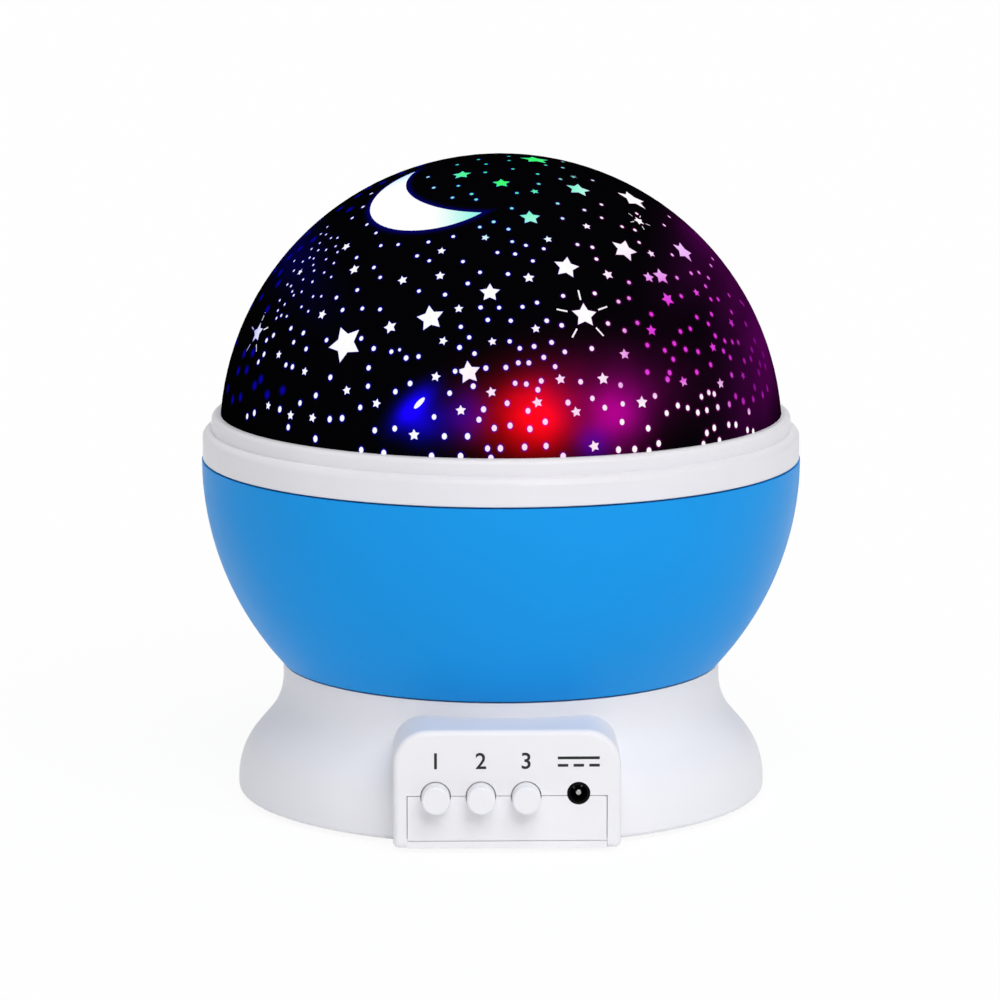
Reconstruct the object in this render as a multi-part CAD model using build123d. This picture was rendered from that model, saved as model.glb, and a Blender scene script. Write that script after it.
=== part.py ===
"""Star night light projector: a flared base with a control panel, a bowl that turns on it,
and a lift-off cover with a star dome. Millimetres, +Z up, origin on the table under the
middle of the base, the control panel faces -Y."""

import os
from math import acos, atan, cos, pi, radians, sin, sqrt, tan

from build123d import *

# ---- common walls and clearances
WALL = 2.0  # moulded wall of the base and the bowl
SEAM = 0.15  # gap between moulded pieces that are fastened together
RUN_GAP = 0.4  # gap between the bowl and the base it turns on
SHAFT_FIT = 0.05  # radial running clearance
PILOT = 0.1  # gap between a screw's shank and its hole
CAP_GAP = 0.2  # gap between a button and its hole
SEAT_GAP = 0.3  # loose seat of a piece that moves away from it

# ---- base shell
FOOT_H = 1.0  # how far the rubber feet stand out below the base
BASE_R = 57.6  # skirt of the base
NECK_R = 47.7  # neck under the bowl
SHOULDER_Z = 9.5  # where the skirt starts to lean in
WAIST_Z = 21.0  # where the flare meets the neck
RIM_Z = 29.4  # top of the neck
SHOULDER_BEND = 16.0  # bend radius at the shoulder
WAIST_BEND = 14.0  # bend radius at the waist
SKIRT_EDGE = 1.2  # rounding of the bottom edge
RIM_WALL = 1.7  # thin wall round the bowl's spigot
DECK_DROP = 5.4  # the deck's top below the rim
DECK_T = 2.0
LEDGE_W = 5.8  # width of the ledge that carries the deck
LEDGE_T = 2.0

# ---- control panel
PANEL_PROUD = 2.4  # how far the panel's face stands out beyond the skirt
PANEL_HALF_W = 23.9
PANEL_TOP_Z = 26.3
PANEL_CORNER = 7.5
PANEL_FOOT_CORNER = 1.2
PANEL_EDGE = 1.3  # rounding round the panel's face
PANEL_DEPTH = 20.0  # how far the panel's block runs back into the base
CONTROL_Z = 12.2  # height of the row of buttons
BUTTON_X = {"light": -15.0, "colour": -5.5, "spin": 4.0}
INLET_X = 15.0
INLET_Z = 12.8
TAB_INSET = 3.0  # panel's side to the tab of the bottom cover that fills its notch
TAB_LINE_RISE = 1.5  # fine groove across the tab above its lower edge
TAB_LINE_W = 0.25
TAB_LINE_DEPTH = 0.3

# ---- buttons and their switches
CAP_R = 3.0
CAP_PROUD = 4.6
CAP_EDGE = 0.5
CAP_FLANGE_R = 4.1
CAP_FLANGE_T = 1.1
CAP_STEM_R = 1.4
PRESS = 0.8  # travel of a button
SWITCH_SIDE = 6.0
SWITCH_H = 3.5
PLUNGER_R = 1.7
PLUNGER_PROUD = 0.9
BOARD_BEHIND = 10.0  # the control board's front behind the panel's inner face

# ---- DC inlet, for a plug of 3.5 mm outside and 1.35 mm inside
INLET_NOSE_R = 2.35
INLET_BORE_R = 1.85
INLET_PIN_R = 0.65
INLET_BODY_W = 7.5
INLET_BODY_H = 5.4
INLET_DEPTH = 8.5  # bore's floor behind the panel's face
INLET_SET_BACK = 0.1  # inlet's front behind the panel's face
PIN_SET_BACK = 0.7  # pin's tip behind the panel's face
PIN_EDGE = 0.26  # rounding of the pin's tip
PIN_ROOT_R = 1.2  # pin's wider root, set in the inlet
PIN_ROOT_L = 2.0

# ---- control board
BOARD_T = 1.6
BOARD_SIDE_GAP = 1.4  # board's edge to the panel's inner side
BOARD_LIFT = 1.0  # board's lower edge above the bottom cover
BOARD_H = 15.0
BOARD_SCREW_INSET = 1.5
BOARD_BOSS_R = 2.2
CHIP = (-9.0, -1.0, 7.0, 12.0, 1.4)  # left, right, low, high and thickness
HEADER = (6.0, 16.0, 13.0, 17.0, 3.0)
LEAD_R = 1.1  # sheath round the lamp's wires
LEAD_BEND_R = 3.0
LEAD_DROP = 3.0  # wires below the deck where they cross to the post
LEAD_RISE_Y = (32.0, 20.0)  # where they rise, in front of the axis
LEAD_PLUG = (7.0, 3.2, 3.6)  # width, height and length of the plug on the control board
LAMP_PLUG = (7.0, 6.4, 2.4)  # width, depth and height of the plug on the LED board

# ---- bottom cover, battery box and door
COVER_T = 2.4
CELL_R = 5.25  # AAA cell
CELL_L = 44.5
CELL_COUNT = 4
CELL_PITCH = 10.8
BOX_WALL = 1.6
BOX_FRONT_Y = -5.8  # inner face of the battery box's front wall
CONTACT_T = 0.4
SPRING_L = 3.7
SPRING_WIRE_R = 0.35
SPRING_TURNS = 2.5
DOOR_T = 1.35
DOOR_GAP = 0.15
TONGUE_HALF_W = 5.0
TONGUE_L = 7.6
HOOK_X = 15.0
HOOK_HALF_W = 4.0
HOOK_T = 1.0
HOOK_REACH = 2.2
HOOK_SWEEP = 3.6  # height that a hook needs above the door's recess to swing
GRIP_COUNT = 4  # grooves that the thumb pushes on
GRIP_PITCH = 2.4
GRIP_W = 1.0
GRIP_DEPTH = 0.4
GRIP_HALF_L = 7.0
GRIP_INSET = 6.0
DOOR_SCREW_HEAD_T = 0.8
DOOR_SCREW_SINK = 0.1
DOOR_SCREW_L = 5.1
DOOR_BORE_R = 1.9  # bore that lets the captive screw swing out with the door
DOOR_BORE_L = 7.5
CELL_EDGE = 0.4
NIPPLE_R = 1.9
NIPPLE_L = 0.8
SPRING_R = 3.4
SPRING_LEAN = -18.0
CONTACT_HALF_W = 4.2
CONTACT_HALF_H = 4.0
FEET_INSET = 9.6  # skirt to the feet's middle
FEET_TURNS = (30.0, 150.0, 210.0, 330.0)
FOOT_R = 5.0
FOOT_INSET = 1.0
FOOT_EDGE = 0.3

# ---- screws
SCREW_R = 1.1
SCREW_HEAD_R = 2.1
SCREW_HEAD_T = 1.2
BOSS_R = 3.0
BASE_SCREW_INSET = 9.0  # skirt to the base screws' middle
BASE_SCREW_TURNS = (-56.0, -124.0, 41.0, 139.0)
BASE_SCREW_L = 8.8
DRILL_SPARE = 1.0  # how much deeper a hole is than its screw
DECK_SCREW_INSET = 3.2  # socket to the deck screws' middle
DECK_SCREW_L = 7.8
GEAR_SCREW_BITE = 3.0  # how far a screw reaches past the piece that it holds
REFLECTOR_SCREW_BITE = 5.5
LED_SCREW_BITE = 2.0

# ---- spindle, bowl bearing and drive
POST_R = 8.0
POST_BORE_R = 6.0
WASHER_T = 1.0
HUB_WALL = 4.0
HUB_RISE = 5.0  # hub above the bowl's floor
CLIP_PROUD = 2.4
CLIP_T = 1.0
CLIP_DEPTH = 0.6
MODULE = 1.0
RING_TEETH = 66
PINION_TEETH = 12
PRESSURE_ANGLE = radians(20)
BACKLASH = 0.16
GEAR_CLEAR = 1.4  # gears above the deck
GEAR_H = 4.4
RING_WALL = 2.9
RING_EAR_H = 3.0
MOTOR_R = 12.0
MOTOR_H = 13.0
MOTOR_OFFSET = 6.0  # motor's middle to its shaft, as in small geared motors
MOTOR_EAR_R = 3.5
MOTOR_EAR_T = 0.8
MOTOR_EDGE = 1.0
MOTOR_PLUG = (8.0, 4.5, 5.0)  # width, depth and height of the plug on its side
MOTOR_COLLAR_R = 3.0
MOTOR_SHAFT_R = 1.5

# ---- bowl
BOWL_R = 65.15  # mouth of the bowl
BOWL_ARC = 65.9  # radius of its side, seen in section
BOWL_H = 44.4
FLOOR_RISE = 1.6  # underside of the bowl's floor above the base's rim
FLOOR_T = 2.0
SPIGOT_WALL = 2.0
SPIGOT_L = 4.4
TOWER_OFFSET = 2.45  # ring gear's outside to the middle of the four towers
TOWER_EDGE = 0.4
REFLECTOR_DROP = 8.2  # reflector below the bowl's mouth
REFLECTOR_T = 1.5
REFLECTOR_GAP = 1.15  # reflector to the LED holder's sleeve
REFLECTOR_RIM = 1.4

# ---- lamp
LAMP_RISE = 2.8  # underside of the LED holder's disc above the bowl's mouth
HOLDER_R = 24.0
HOLDER_T = 2.0
HOLDER_LIP = 1.0  # how far the holder's disc covers the post's end
HOLDER_SLEEVE_L = 7.0
LED_BOSS_L = 3.5
LED_BOARD_INSET = 1.0  # holder's edge to the LED board's edge
LED_BOARD_HOLE_R = 2.5
LED_INSET = 5.0  # LED board's edge to the LEDs' middle
LED_SCREW_INSET = 4.5
LED_R = 2.5
LED_H = 5.6
LED_RIM_R = 2.9
LED_RIM_H = 1.0
LED_TURNS = {"red": -66.0, "blue": -156.0, "green": 114.0, "warm": 24.0}

# ---- cover: ring and star dome
RING_PARTING = 0.3  # dark gap between the ring and the bowl
BAND_STEP = 0.2  # bowl's mouth to the ring's band
BAND_H = 6.3
BAND_EDGE = 1.7
BAND_FOOT_EDGE = 0.3
COLLAR_STEP = 1.95
COLLAR_H = 3.4
COLLAR_EDGE = 1.2
COLLAR_W = 1.8  # collar's outside to the dome
DOME_RISE = 4.5  # dome's centre above the ring's lower edge
SKIRT_L = 3.3  # dome's short straight skirt below its centre
MASK_T = 0.5
MASK_GAP = 0.03
DOME_T = 1.6
PLUG_WALL = 2.4  # wall of the ring's spigot in the bowl's mouth
PLUG_L = 4.4
DOME_SEAT = 1.8  # ledge under the dome's skirt
LUG_COUNT = 4
LUG_ANGLE = 6.0
LUG_H = 1.6
LUG_SIDE_GAP = 1.0  # degrees on each side of a lug in its slot
LOCK_ANGLE = 12.0

# ---- windows in the star mask: turn from the front, height angle, size, lean to the left
STARS = (
    (-37.6, 25.9, 4.15, 35.0),
    (-17.8, 32.5, 2.95, 15.0),
    (-4.0, 38.4, 2.15, 1.0),
    (-8.0, 21.6, 2.5, 9.0),
    (-27.1, 30.1, 1.45, 25.0),
    (-17.5, 42.0, 1.05, 8.0),
    (-27.5, 40.5, 1.1, 28.0),
    (-44.0, 41.9, 1.25, 30.0),
    (-70.3, 24.5, 2.3, 15.0),
    (-30.4, 73.7, 2.05, 23.0),
    (-1.0, 70.3, 1.9, 3.0),
    (9.6, 57.7, 2.2, -4.0),
    (40.5, 66.2, 2.7, 34.0),
    (62.2, 82.3, 3.2, 20.0),
    (66.3, 60.1, 3.6, 30.0),
    (16.9, 44.0, 2.75, -17.0),
    (37.5, 47.2, 3.0, 36.0),
    (61.6, 44.5, 2.8, 36.0),
    (40.4, 40.1, 1.3, -20.0),
    (18.6, 33.0, 2.75, -6.0),
    (34.7, 28.7, 1.2, -10.0),
    (20.4, 19.8, 1.3, 0.0),
    (28.5, 14.6, 1.35, -5.0),
    (-18.6, 9.0, 1.2, 5.0),
)
STAR_WAIST = 0.45  # inner to outer radius of a star
BACK_TURN = 180.0  # the back repeats the front's stars below the top
BACK_LIMIT = 62.0
MOON_TURN = -36.0
MOON_TILT = 67.4
MOON_R = 15.3
MOON_CUT_R = 18.9
MOON_CUT_SHIFT = 13.3
MOON_CUT_ANGLE = 61.7
MOON_DEPTH = 3.0  # how deep the moon's curved window is cut
STAR_DEPTH = 1.5

# ---- worked out from the sizes above
COVER_TOP_Z = FOOT_H + COVER_T
SOCKET_R = NECK_R - RIM_WALL
SPIGOT_R = SOCKET_R - RUN_GAP
DECK_Z = RIM_Z - DECK_DROP
LEDGE_R = SOCKET_R - LEDGE_W
LEDGE_TOP_Z = DECK_Z - DECK_T
LEDGE_LOW_Z = LEDGE_TOP_Z - LEDGE_T
DECK_SCREW_R = SOCKET_R - DECK_SCREW_INSET
BASE_SCREW_R = BASE_R - BASE_SCREW_INSET
FEET_R = BASE_R - FEET_INSET
PANEL_Y = BASE_R + PANEL_PROUD
PANEL_BACK_Y = PANEL_Y - WALL
TAB_HALF_W = PANEL_HALF_W - TAB_INSET
CAP_FLANGE_Y = PANEL_BACK_Y - SEAT_GAP
BOARD_FRONT_Y = PANEL_BACK_Y - BOARD_BEHIND
BOARD_HALF_W = PANEL_HALF_W - WALL - BOARD_SIDE_GAP
BOARD_LOW_Z = COVER_TOP_Z + BOARD_LIFT
BOARD_HIGH_Z = BOARD_LOW_Z + BOARD_H
BOARD_SCREW_X = BOARD_HALF_W - BOARD_SCREW_INSET
BOARD_SCREW_Z = BOARD_HIGH_Z - BOARD_SCREW_INSET - PILOT
SWITCH_FRONT_Y = BOARD_FRONT_Y + SWITCH_H
INLET_FLOOR_Y = PANEL_Y - INLET_DEPTH
PLUNGER_TIP_Y = SWITCH_FRONT_Y + PLUNGER_PROUD
DOOR_TOP_Z = FOOT_H + DOOR_T
RECESS_TOP_Z = DOOR_TOP_Z + SEAM / 3
CELL_Z = DOOR_TOP_Z + SEAT_GAP + CELL_R
BOX_HALF_X = (CELL_L + SPRING_L + 2 * CONTACT_T) / 2
BOX_BACK_Y = BOX_FRONT_Y + CELL_COUNT * CELL_PITCH + SEAT_GAP
ROOF_Z = CELL_Z + CELL_R + SEAT_GAP
DOOR_HALF_X = BOX_HALF_X + BOX_WALL
DOOR_FRONT_Y = BOX_FRONT_Y - BOX_WALL
DOOR_BACK_Y = BOX_BACK_Y + BOX_WALL
DOOR_SCREW_Y = DOOR_BACK_Y + TONGUE_L / 2
DOOR_AXIS_Y = DOOR_FRONT_Y + DOOR_GAP + DOOR_T / 2
DOOR_AXIS_Z = FOOT_H + DOOR_T / 2
PINION_R = MODULE * PINION_TEETH / 2
RING_GEAR_R = MODULE * RING_TEETH / 2
PINION_Y = RING_GEAR_R - PINION_R
RING_ROOT_R = RING_GEAR_R + 1.25 * MODULE
RING_OUTER_R = RING_ROOT_R + RING_WALL
TOWER_RING_R = RING_OUTER_R + TOWER_OFFSET
GEAR_LOW_Z = DECK_Z + GEAR_CLEAR
FLOOR_Z = RIM_Z + FLOOR_RISE
FLOOR_TOP_Z = FLOOR_Z + FLOOR_T
RING_EAR_LOW_Z = FLOOR_Z - RING_EAR_H
WASHER_TOP_Z = DECK_Z + WASHER_T
HUB_R = POST_R + HUB_WALL
HUB_TOP_Z = FLOOR_TOP_Z + HUB_RISE
BOWL_LOW_Z = RIM_Z + RUN_GAP
BOWL_TOP_Z = BOWL_LOW_Z + BOWL_H
REFLECTOR_Z = BOWL_TOP_Z - REFLECTOR_DROP
SLEEVE_R = POST_R + SHAFT_FIT
HOLDER_Z = BOWL_TOP_Z + LAMP_RISE
POST_TOP_Z = HOLDER_Z - SEAM
LED_BOARD_R = HOLDER_R - LED_BOARD_INSET
LED_RING_R = LED_BOARD_R - LED_INSET
LED_SCREW_R = LED_BOARD_R - LED_SCREW_INSET
BOARD_Z = HOLDER_Z + HOLDER_T
LED_Z = BOARD_Z + BOARD_T
RING_LOW_Z = BOWL_TOP_Z + RING_PARTING
BAND_R = BOWL_R - BAND_STEP
BAND_TOP_Z = RING_LOW_Z + BAND_H
COLLAR_R = BAND_R - COLLAR_STEP
COLLAR_TOP_Z = BAND_TOP_Z + COLLAR_H
DOME_R = COLLAR_R - COLLAR_W
DOME_Z = RING_LOW_Z + DOME_RISE
SKIRT_LOW_Z = DOME_Z - SKIRT_L
MOUTH_R = BOWL_R - WALL
PLUG_R = MOUTH_R - SEAT_GAP
SHELL_R = DOME_R - MASK_T - MASK_GAP
QUARTERS = (45.0, 135.0, 225.0, 315.0)

UPWARDS = (Align.CENTER, Align.CENTER, Align.MIN)


def disc(radius, low, high, x=0.0, y=0.0):
    """Upright cylinder between two heights."""
    return Pos(x, y, low) * Cylinder(radius, high - low, align=UPWARDS)


def tube(outer, inner, low, high, x=0.0, y=0.0):
    return disc(outer, low, high, x, y) - disc(inner, low, high, x, y)


def block(x0, x1, y0, y1, z0, z1):
    middle = Pos((x0 + x1) / 2, (y0 + y1) / 2, (z0 + z1) / 2)
    return middle * Box(x1 - x0, y1 - y0, z1 - z0)


def rod_to_front(radius, near, far, x, z):
    """Level cylinder along Y, from distance near to distance far in front of the axis."""
    return Pos(x, -(near + far) / 2, z) * Rot(90, 0, 0) * Cylinder(radius, far - near)


def at_turn(radius, degrees):
    return radius * cos(radians(degrees)), radius * sin(radians(degrees))


def lathe(*lines):
    """Turns a closed section, drawn as (radius, height), about the axis."""
    outline = lines[0]
    for line in lines[1:]:
        outline += line
    return revolve(make_face(Plane.XZ * outline), Axis.Z)


def screw(x, y, face_z, way, length):
    """Flat-headed screw. Its head starts at face_z and its shank runs up (1) or down (-1)."""
    neck_z = face_z + way * SCREW_HEAD_T
    head = disc(SCREW_HEAD_R, *sorted((face_z, neck_z)), x, y)
    return head + disc(SCREW_R, *sorted((neck_z, neck_z + way * length)), x, y)


def circle_of(radius, turns):
    return [at_turn(radius, turn) for turn in turns]


def group(pieces):
    return Compound(children=[solid for piece in pieces for solid in piece.solids()])


# ---- base -------------------------------------------------------------------------------


def flare(inset, low, edge=0.0):
    """The base's round form up to its rim, moved inwards by inset."""
    lean = atan((BASE_R - NECK_R) / (WAIST_Z - SHOULDER_Z))
    drop = inset * tan(lean / 2)
    corners = (
        (0, low),
        (BASE_R - inset, low),
        (BASE_R - inset, SHOULDER_Z - drop),
        (NECK_R - inset, WAIST_Z - drop),
        (NECK_R - inset, RIM_Z),
        (0, RIM_Z),
    )
    bends = (0, edge, SHOULDER_BEND - inset, WAIST_BEND + inset, 0, 0)
    return lathe(FilletPolyline(*corners, radius=bends, close=True))


def panel_block(half_width, top, corner, near, far, foot_corner=0.0, edge=0.0):
    """Block with round corners, from distance near to far in front of the axis."""
    middle = (FOOT_H + top) / 2
    plate = Pos(0, middle) * Rectangle(2 * half_width, top - FOOT_H)
    plate = fillet(plate.vertices().group_by(Axis.Y)[-1], corner)
    if foot_corner:
        plate = fillet(plate.vertices().group_by(Axis.Y)[0], foot_corner)
    body = extrude(Plane.XZ.offset(near) * plate, far - near)
    if edge:
        rim = body.faces().sort_by(Axis.Y)[0].edges()
        body = fillet(rim.filter_by(lambda e: e.center().Z > FOOT_H + foot_corner), edge)
    return body


def control_holes(gap):
    """Holes through the panel for the buttons and the inlet."""
    near, far = PANEL_BACK_Y - WALL, PANEL_Y + WALL
    holes = [
        rod_to_front(CAP_R + gap, near, far, x, CONTROL_Z) for x in BUTTON_X.values()
    ]
    return holes + [
        rod_to_front(INLET_NOSE_R + gap / 2, near, far, INLET_X, INLET_Z)
    ]


def base_shell():
    outside = flare(0, FOOT_H, SKIRT_EDGE)
    back = PANEL_Y - PANEL_DEPTH
    outside += panel_block(
        PANEL_HALF_W,
        PANEL_TOP_Z,
        PANEL_CORNER,
        back,
        PANEL_Y,
        PANEL_FOOT_CORNER,
        PANEL_EDGE,
    )
    pocket = panel_block(
        PANEL_HALF_W - WALL,
        PANEL_TOP_Z - WALL,
        PANEL_CORNER - WALL,
        back,
        PANEL_BACK_Y,
    )
    pocket -= disc(SOCKET_R + WALL, LEDGE_LOW_Z, RIM_Z)
    cavity = flare(WALL, FOOT_H) & disc(BASE_R, FOOT_H, LEDGE_LOW_Z)
    shell = outside - cavity - pocket
    shell -= disc(SOCKET_R, LEDGE_TOP_Z, RIM_Z)
    shell -= disc(LEDGE_R, LEDGE_LOW_Z, LEDGE_TOP_Z)
    posts = []
    drilled = control_holes(CAP_GAP)
    drill = SCREW_R + PILOT
    for x, y in circle_of(BASE_SCREW_R, BASE_SCREW_TURNS):
        posts.append(disc(BOSS_R, COVER_TOP_Z + SEAM, LEDGE_LOW_Z, x, y))
        top = FOOT_H + SCREW_HEAD_T + BASE_SCREW_L + DRILL_SPARE
        drilled.append(disc(drill, FOOT_H, top, x, y))
    deck_tip = DECK_Z - SCREW_HEAD_T - DECK_SCREW_L - DRILL_SPARE
    for x, y in circle_of(DECK_SCREW_R, QUARTERS):
        posts.append(disc(BOSS_R, deck_tip - DRILL_SPARE, LEDGE_TOP_Z, x, y))
        drilled.append(disc(drill, deck_tip, LEDGE_TOP_Z, x, y))
    for x in (-BOARD_SCREW_X, BOARD_SCREW_X):
        posts.append(
            rod_to_front(BOARD_BOSS_R, BOARD_FRONT_Y, PANEL_BACK_Y, x, BOARD_SCREW_Z)
        )
        drilled.append(
            rod_to_front(
                drill, BOARD_FRONT_Y, PANEL_BACK_Y - DRILL_SPARE, x, BOARD_SCREW_Z
            )
        )
    for post in posts:
        shell += post & outside
    notch = TAB_HALF_W + SEAM
    drilled.append(
        block(-notch, notch, -PANEL_Y - WALL, -PANEL_BACK_Y, 0, CONTROL_Z + SEAM)
    )
    return shell - drilled


def door_outline(gap, low, high):
    """Plate and round-ended tongue of the battery door, smaller by gap all round."""
    x, back = DOOR_HALF_X - gap, DOOR_BACK_Y - gap
    plate = block(-x, x, DOOR_FRONT_Y + gap, back, low, high)
    half = TONGUE_HALF_W - gap
    tip_y = DOOR_BACK_Y + TONGUE_L - TONGUE_HALF_W
    plate += block(-half, half, back - WALL, tip_y, low, high)
    return plate + disc(half, low, high, 0, tip_y)


def bottom_cover():
    plate = disc(BASE_R - WALL - SEAM, FOOT_H, COVER_TOP_Z)
    plate += block(
        -TAB_HALF_W, TAB_HALF_W, -PANEL_Y, -BOARD_FRONT_Y, FOOT_H, COVER_TOP_Z
    )
    plate += block(
        -TAB_HALF_W, TAB_HALF_W, -PANEL_Y, -PANEL_BACK_Y, FOOT_H, CONTROL_Z
    )
    top = ROOF_Z + BOX_WALL
    box = block(-DOOR_HALF_X, DOOR_HALF_X, DOOR_FRONT_Y, DOOR_BACK_Y, FOOT_H, top)
    upright = box.edges().filter_by(Axis.Z)
    plate += fillet(upright, BOX_WALL)
    plate += disc(DOOR_BORE_R + BOX_WALL, FOOT_H, ROOF_Z, 0, DOOR_SCREW_Y)
    cuts = control_holes(CAP_GAP)
    cuts.append(door_outline(0, FOOT_H, RECESS_TOP_Z))
    line_z = FOOT_H + TAB_LINE_RISE
    cuts.append(
        block(
            -TAB_HALF_W,
            TAB_HALF_W,
            -PANEL_Y,
            TAB_LINE_DEPTH - PANEL_Y,
            line_z,
            line_z + TAB_LINE_W,
        )
    )
    cuts.append(
        block(-BOX_HALF_X, BOX_HALF_X, BOX_FRONT_Y, BOX_BACK_Y, FOOT_H, ROOF_Z)
    )
    cuts.append(disc(DOOR_BORE_R, FOOT_H, FOOT_H + DOOR_BORE_L, 0, DOOR_SCREW_Y))
    for x in (-HOOK_X, HOOK_X):
        half = HOOK_HALF_W + SEAT_GAP
        sweep = RECESS_TOP_Z + HOOK_SWEEP
        cuts.append(
            block(x - half, x + half, DOOR_FRONT_Y, BOX_FRONT_Y, FOOT_H, sweep)
        )
    for x, y in circle_of(BASE_SCREW_R, BASE_SCREW_TURNS):
        cuts.append(disc(SCREW_R + 2 * PILOT, FOOT_H, COVER_TOP_Z, x, y))
        head = FOOT_H + SCREW_HEAD_T + PILOT
        cuts.append(disc(SCREW_HEAD_R + 2 * PILOT, FOOT_H, head, x, y))
    for x, y in circle_of(FEET_R, FEET_TURNS):
        cuts.append(disc(FOOT_R + PILOT, FOOT_H, FOOT_H + FOOT_INSET, x, y))
    return plate - cuts


def rubber_feet():
    feet = [
        disc(FOOT_R, 0, FOOT_H + FOOT_INSET, x, y)
        for x, y in circle_of(FEET_R, FEET_TURNS)
    ]
    return group(
        chamfer(foot.faces().sort_by(Axis.Z)[0].edges(), FOOT_EDGE) for foot in feet
    )


def battery_door():
    """Door that swings about its round front edge, with two hooks that hold it there."""
    door = door_outline(DOOR_GAP, FOOT_H, DOOR_TOP_Z)
    door -= block(
        -DOOR_HALF_X, DOOR_HALF_X, DOOR_FRONT_Y, DOOR_AXIS_Y, FOOT_H, DOOR_TOP_Z
    )
    edge = Cylinder(DOOR_T / 2, 2 * (DOOR_HALF_X - DOOR_GAP))
    door += Pos(0, DOOR_AXIS_Y, DOOR_AXIS_Z) * Rot(0, 90, 0) * edge
    hook_low = COVER_TOP_Z + SEAM
    front = DOOR_FRONT_Y + DOOR_GAP
    for x in (-HOOK_X, HOOK_X):
        left, right = x - HOOK_HALF_W, x + HOOK_HALF_W
        door += block(
            left, right, front, front + HOOK_T, DOOR_AXIS_Z, hook_low + HOOK_T
        )
        tip = front - HOOK_REACH
        door += block(left, right, tip, front, hook_low, hook_low + HOOK_T)
    for step in range(GRIP_COUNT):
        y = DOOR_BACK_Y - GRIP_INSET - step * GRIP_PITCH
        door -= block(
            -GRIP_HALF_L,
            GRIP_HALF_L,
            y - GRIP_W / 2,
            y + GRIP_W / 2,
            FOOT_H,
            FOOT_H + GRIP_DEPTH,
        )
    door -= disc(SCREW_R + PILOT, FOOT_H, DOOR_TOP_Z, 0, DOOR_SCREW_Y)
    sink = DOOR_SCREW_SINK + DOOR_SCREW_HEAD_T
    return door - disc(SCREW_HEAD_R + PILOT, FOOT_H, FOOT_H + sink, 0, DOOR_SCREW_Y)


def door_screw():
    low = FOOT_H + DOOR_SCREW_SINK
    neck = low + DOOR_SCREW_HEAD_T
    head = disc(SCREW_HEAD_R, low, neck, 0, DOOR_SCREW_Y)
    return head + disc(SCREW_R, neck, neck + DOOR_SCREW_L, 0, DOOR_SCREW_Y)


def cell_y(index):
    return BOX_FRONT_Y + SEAT_GAP / 2 + CELL_PITCH * (index + 0.5)


def battery(index):
    """AAA cell, its nipple to +X on even places and to -X on odd ones."""
    side = 1 if index % 2 == 0 else -1
    sleeve = Cylinder(CELL_R, CELL_L - NIPPLE_L)
    sleeve = fillet(sleeve.edges(), CELL_EDGE)
    nipple = Pos(0, 0, CELL_L / 2 - NIPPLE_L / 2) * Cylinder(NIPPLE_R, NIPPLE_L)
    cell = Rot(0, 90 * side, 0) * (sleeve + nipple)
    middle = BOX_HALF_X - CONTACT_T - CELL_L / 2 - NIPPLE_L / 2
    return Pos(side * middle, cell_y(index), CELL_Z) * cell


def battery_springs():
    """Conical springs between the negative ends and their contact plates."""
    springs = []
    for index in range(CELL_COUNT):
        side = -1 if index % 2 == 0 else 1
        height = SPRING_L - 2 * SPRING_WIRE_R - PILOT
        coil = Helix(height / SPRING_TURNS, height, SPRING_R, cone_angle=SPRING_LEAN)
        section = Plane(coil @ 0, z_dir=coil % 0) * Circle(SPRING_WIRE_R)
        spring = sweep(section, coil, is_frenet=True)
        foot_x = side * (BOX_HALF_X - CONTACT_T - SPRING_WIRE_R - PILOT / 2)
        springs.append(
            Pos(foot_x, cell_y(index), CELL_Z) * Rot(0, -90 * side, 0) * spring
        )
    return group(springs)


def battery_contacts():
    """Contact plates on the two end walls of the battery box, one for each pair of cells."""
    plates = []
    pairs = {-1: ((0, 1), (2, 3)), 1: ((0, 0), (1, 2), (3, 3))}
    for side, spans in pairs.items():
        for first, last in spans:
            inner, outer = side * (BOX_HALF_X - CONTACT_T), side * BOX_HALF_X
            low, high = sorted((inner, outer))
            y0, y1 = cell_y(first) - CONTACT_HALF_W, cell_y(last) + CONTACT_HALF_W
            z0, z1 = CELL_Z - CONTACT_HALF_H, CELL_Z + CONTACT_HALF_H
            plates.append(block(low, high, y0, y1, z0, z1))
    return group(plates)


def base_screws():
    places = circle_of(BASE_SCREW_R, BASE_SCREW_TURNS)
    return group(screw(x, y, FOOT_H, 1, BASE_SCREW_L) for x, y in places)


def spindle_deck():
    """Deck that closes the base, with the hollow post that the bowl turns on."""
    deck = disc(SOCKET_R - SEAM, LEDGE_TOP_Z, DECK_Z)
    deck += disc(POST_R, LEDGE_TOP_Z, POST_TOP_Z)
    cuts = [disc(POST_BORE_R, LEDGE_TOP_Z, POST_TOP_Z)]
    groove = POST_R - CLIP_DEPTH
    low = HUB_TOP_Z + SEAM
    cuts.append(tube(POST_R, groove, low, low + CLIP_T + SEAM))
    cuts.append(
        disc(MOTOR_COLLAR_R + SEAM, LEDGE_TOP_Z, DECK_Z, 0, -PINION_Y)
    )
    places = circle_of(DECK_SCREW_R, QUARTERS)
    places += [(x, -PINION_Y) for x in motor_screw_places()]
    for x, y in places:
        cuts.append(disc(SCREW_R + PILOT, LEDGE_TOP_Z, DECK_Z, x, y))
        cuts.append(
            disc(SCREW_HEAD_R + PILOT, DECK_Z - SCREW_HEAD_T, DECK_Z, x, y)
        )
    return deck - cuts


def deck_screws():
    places = circle_of(DECK_SCREW_R, QUARTERS)
    return group(screw(x, y, DECK_Z, -1, DECK_SCREW_L) for x, y in places)


def thrust_washer():
    return tube(HUB_R, POST_R + PILOT, DECK_Z, WASHER_TOP_Z)


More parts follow.
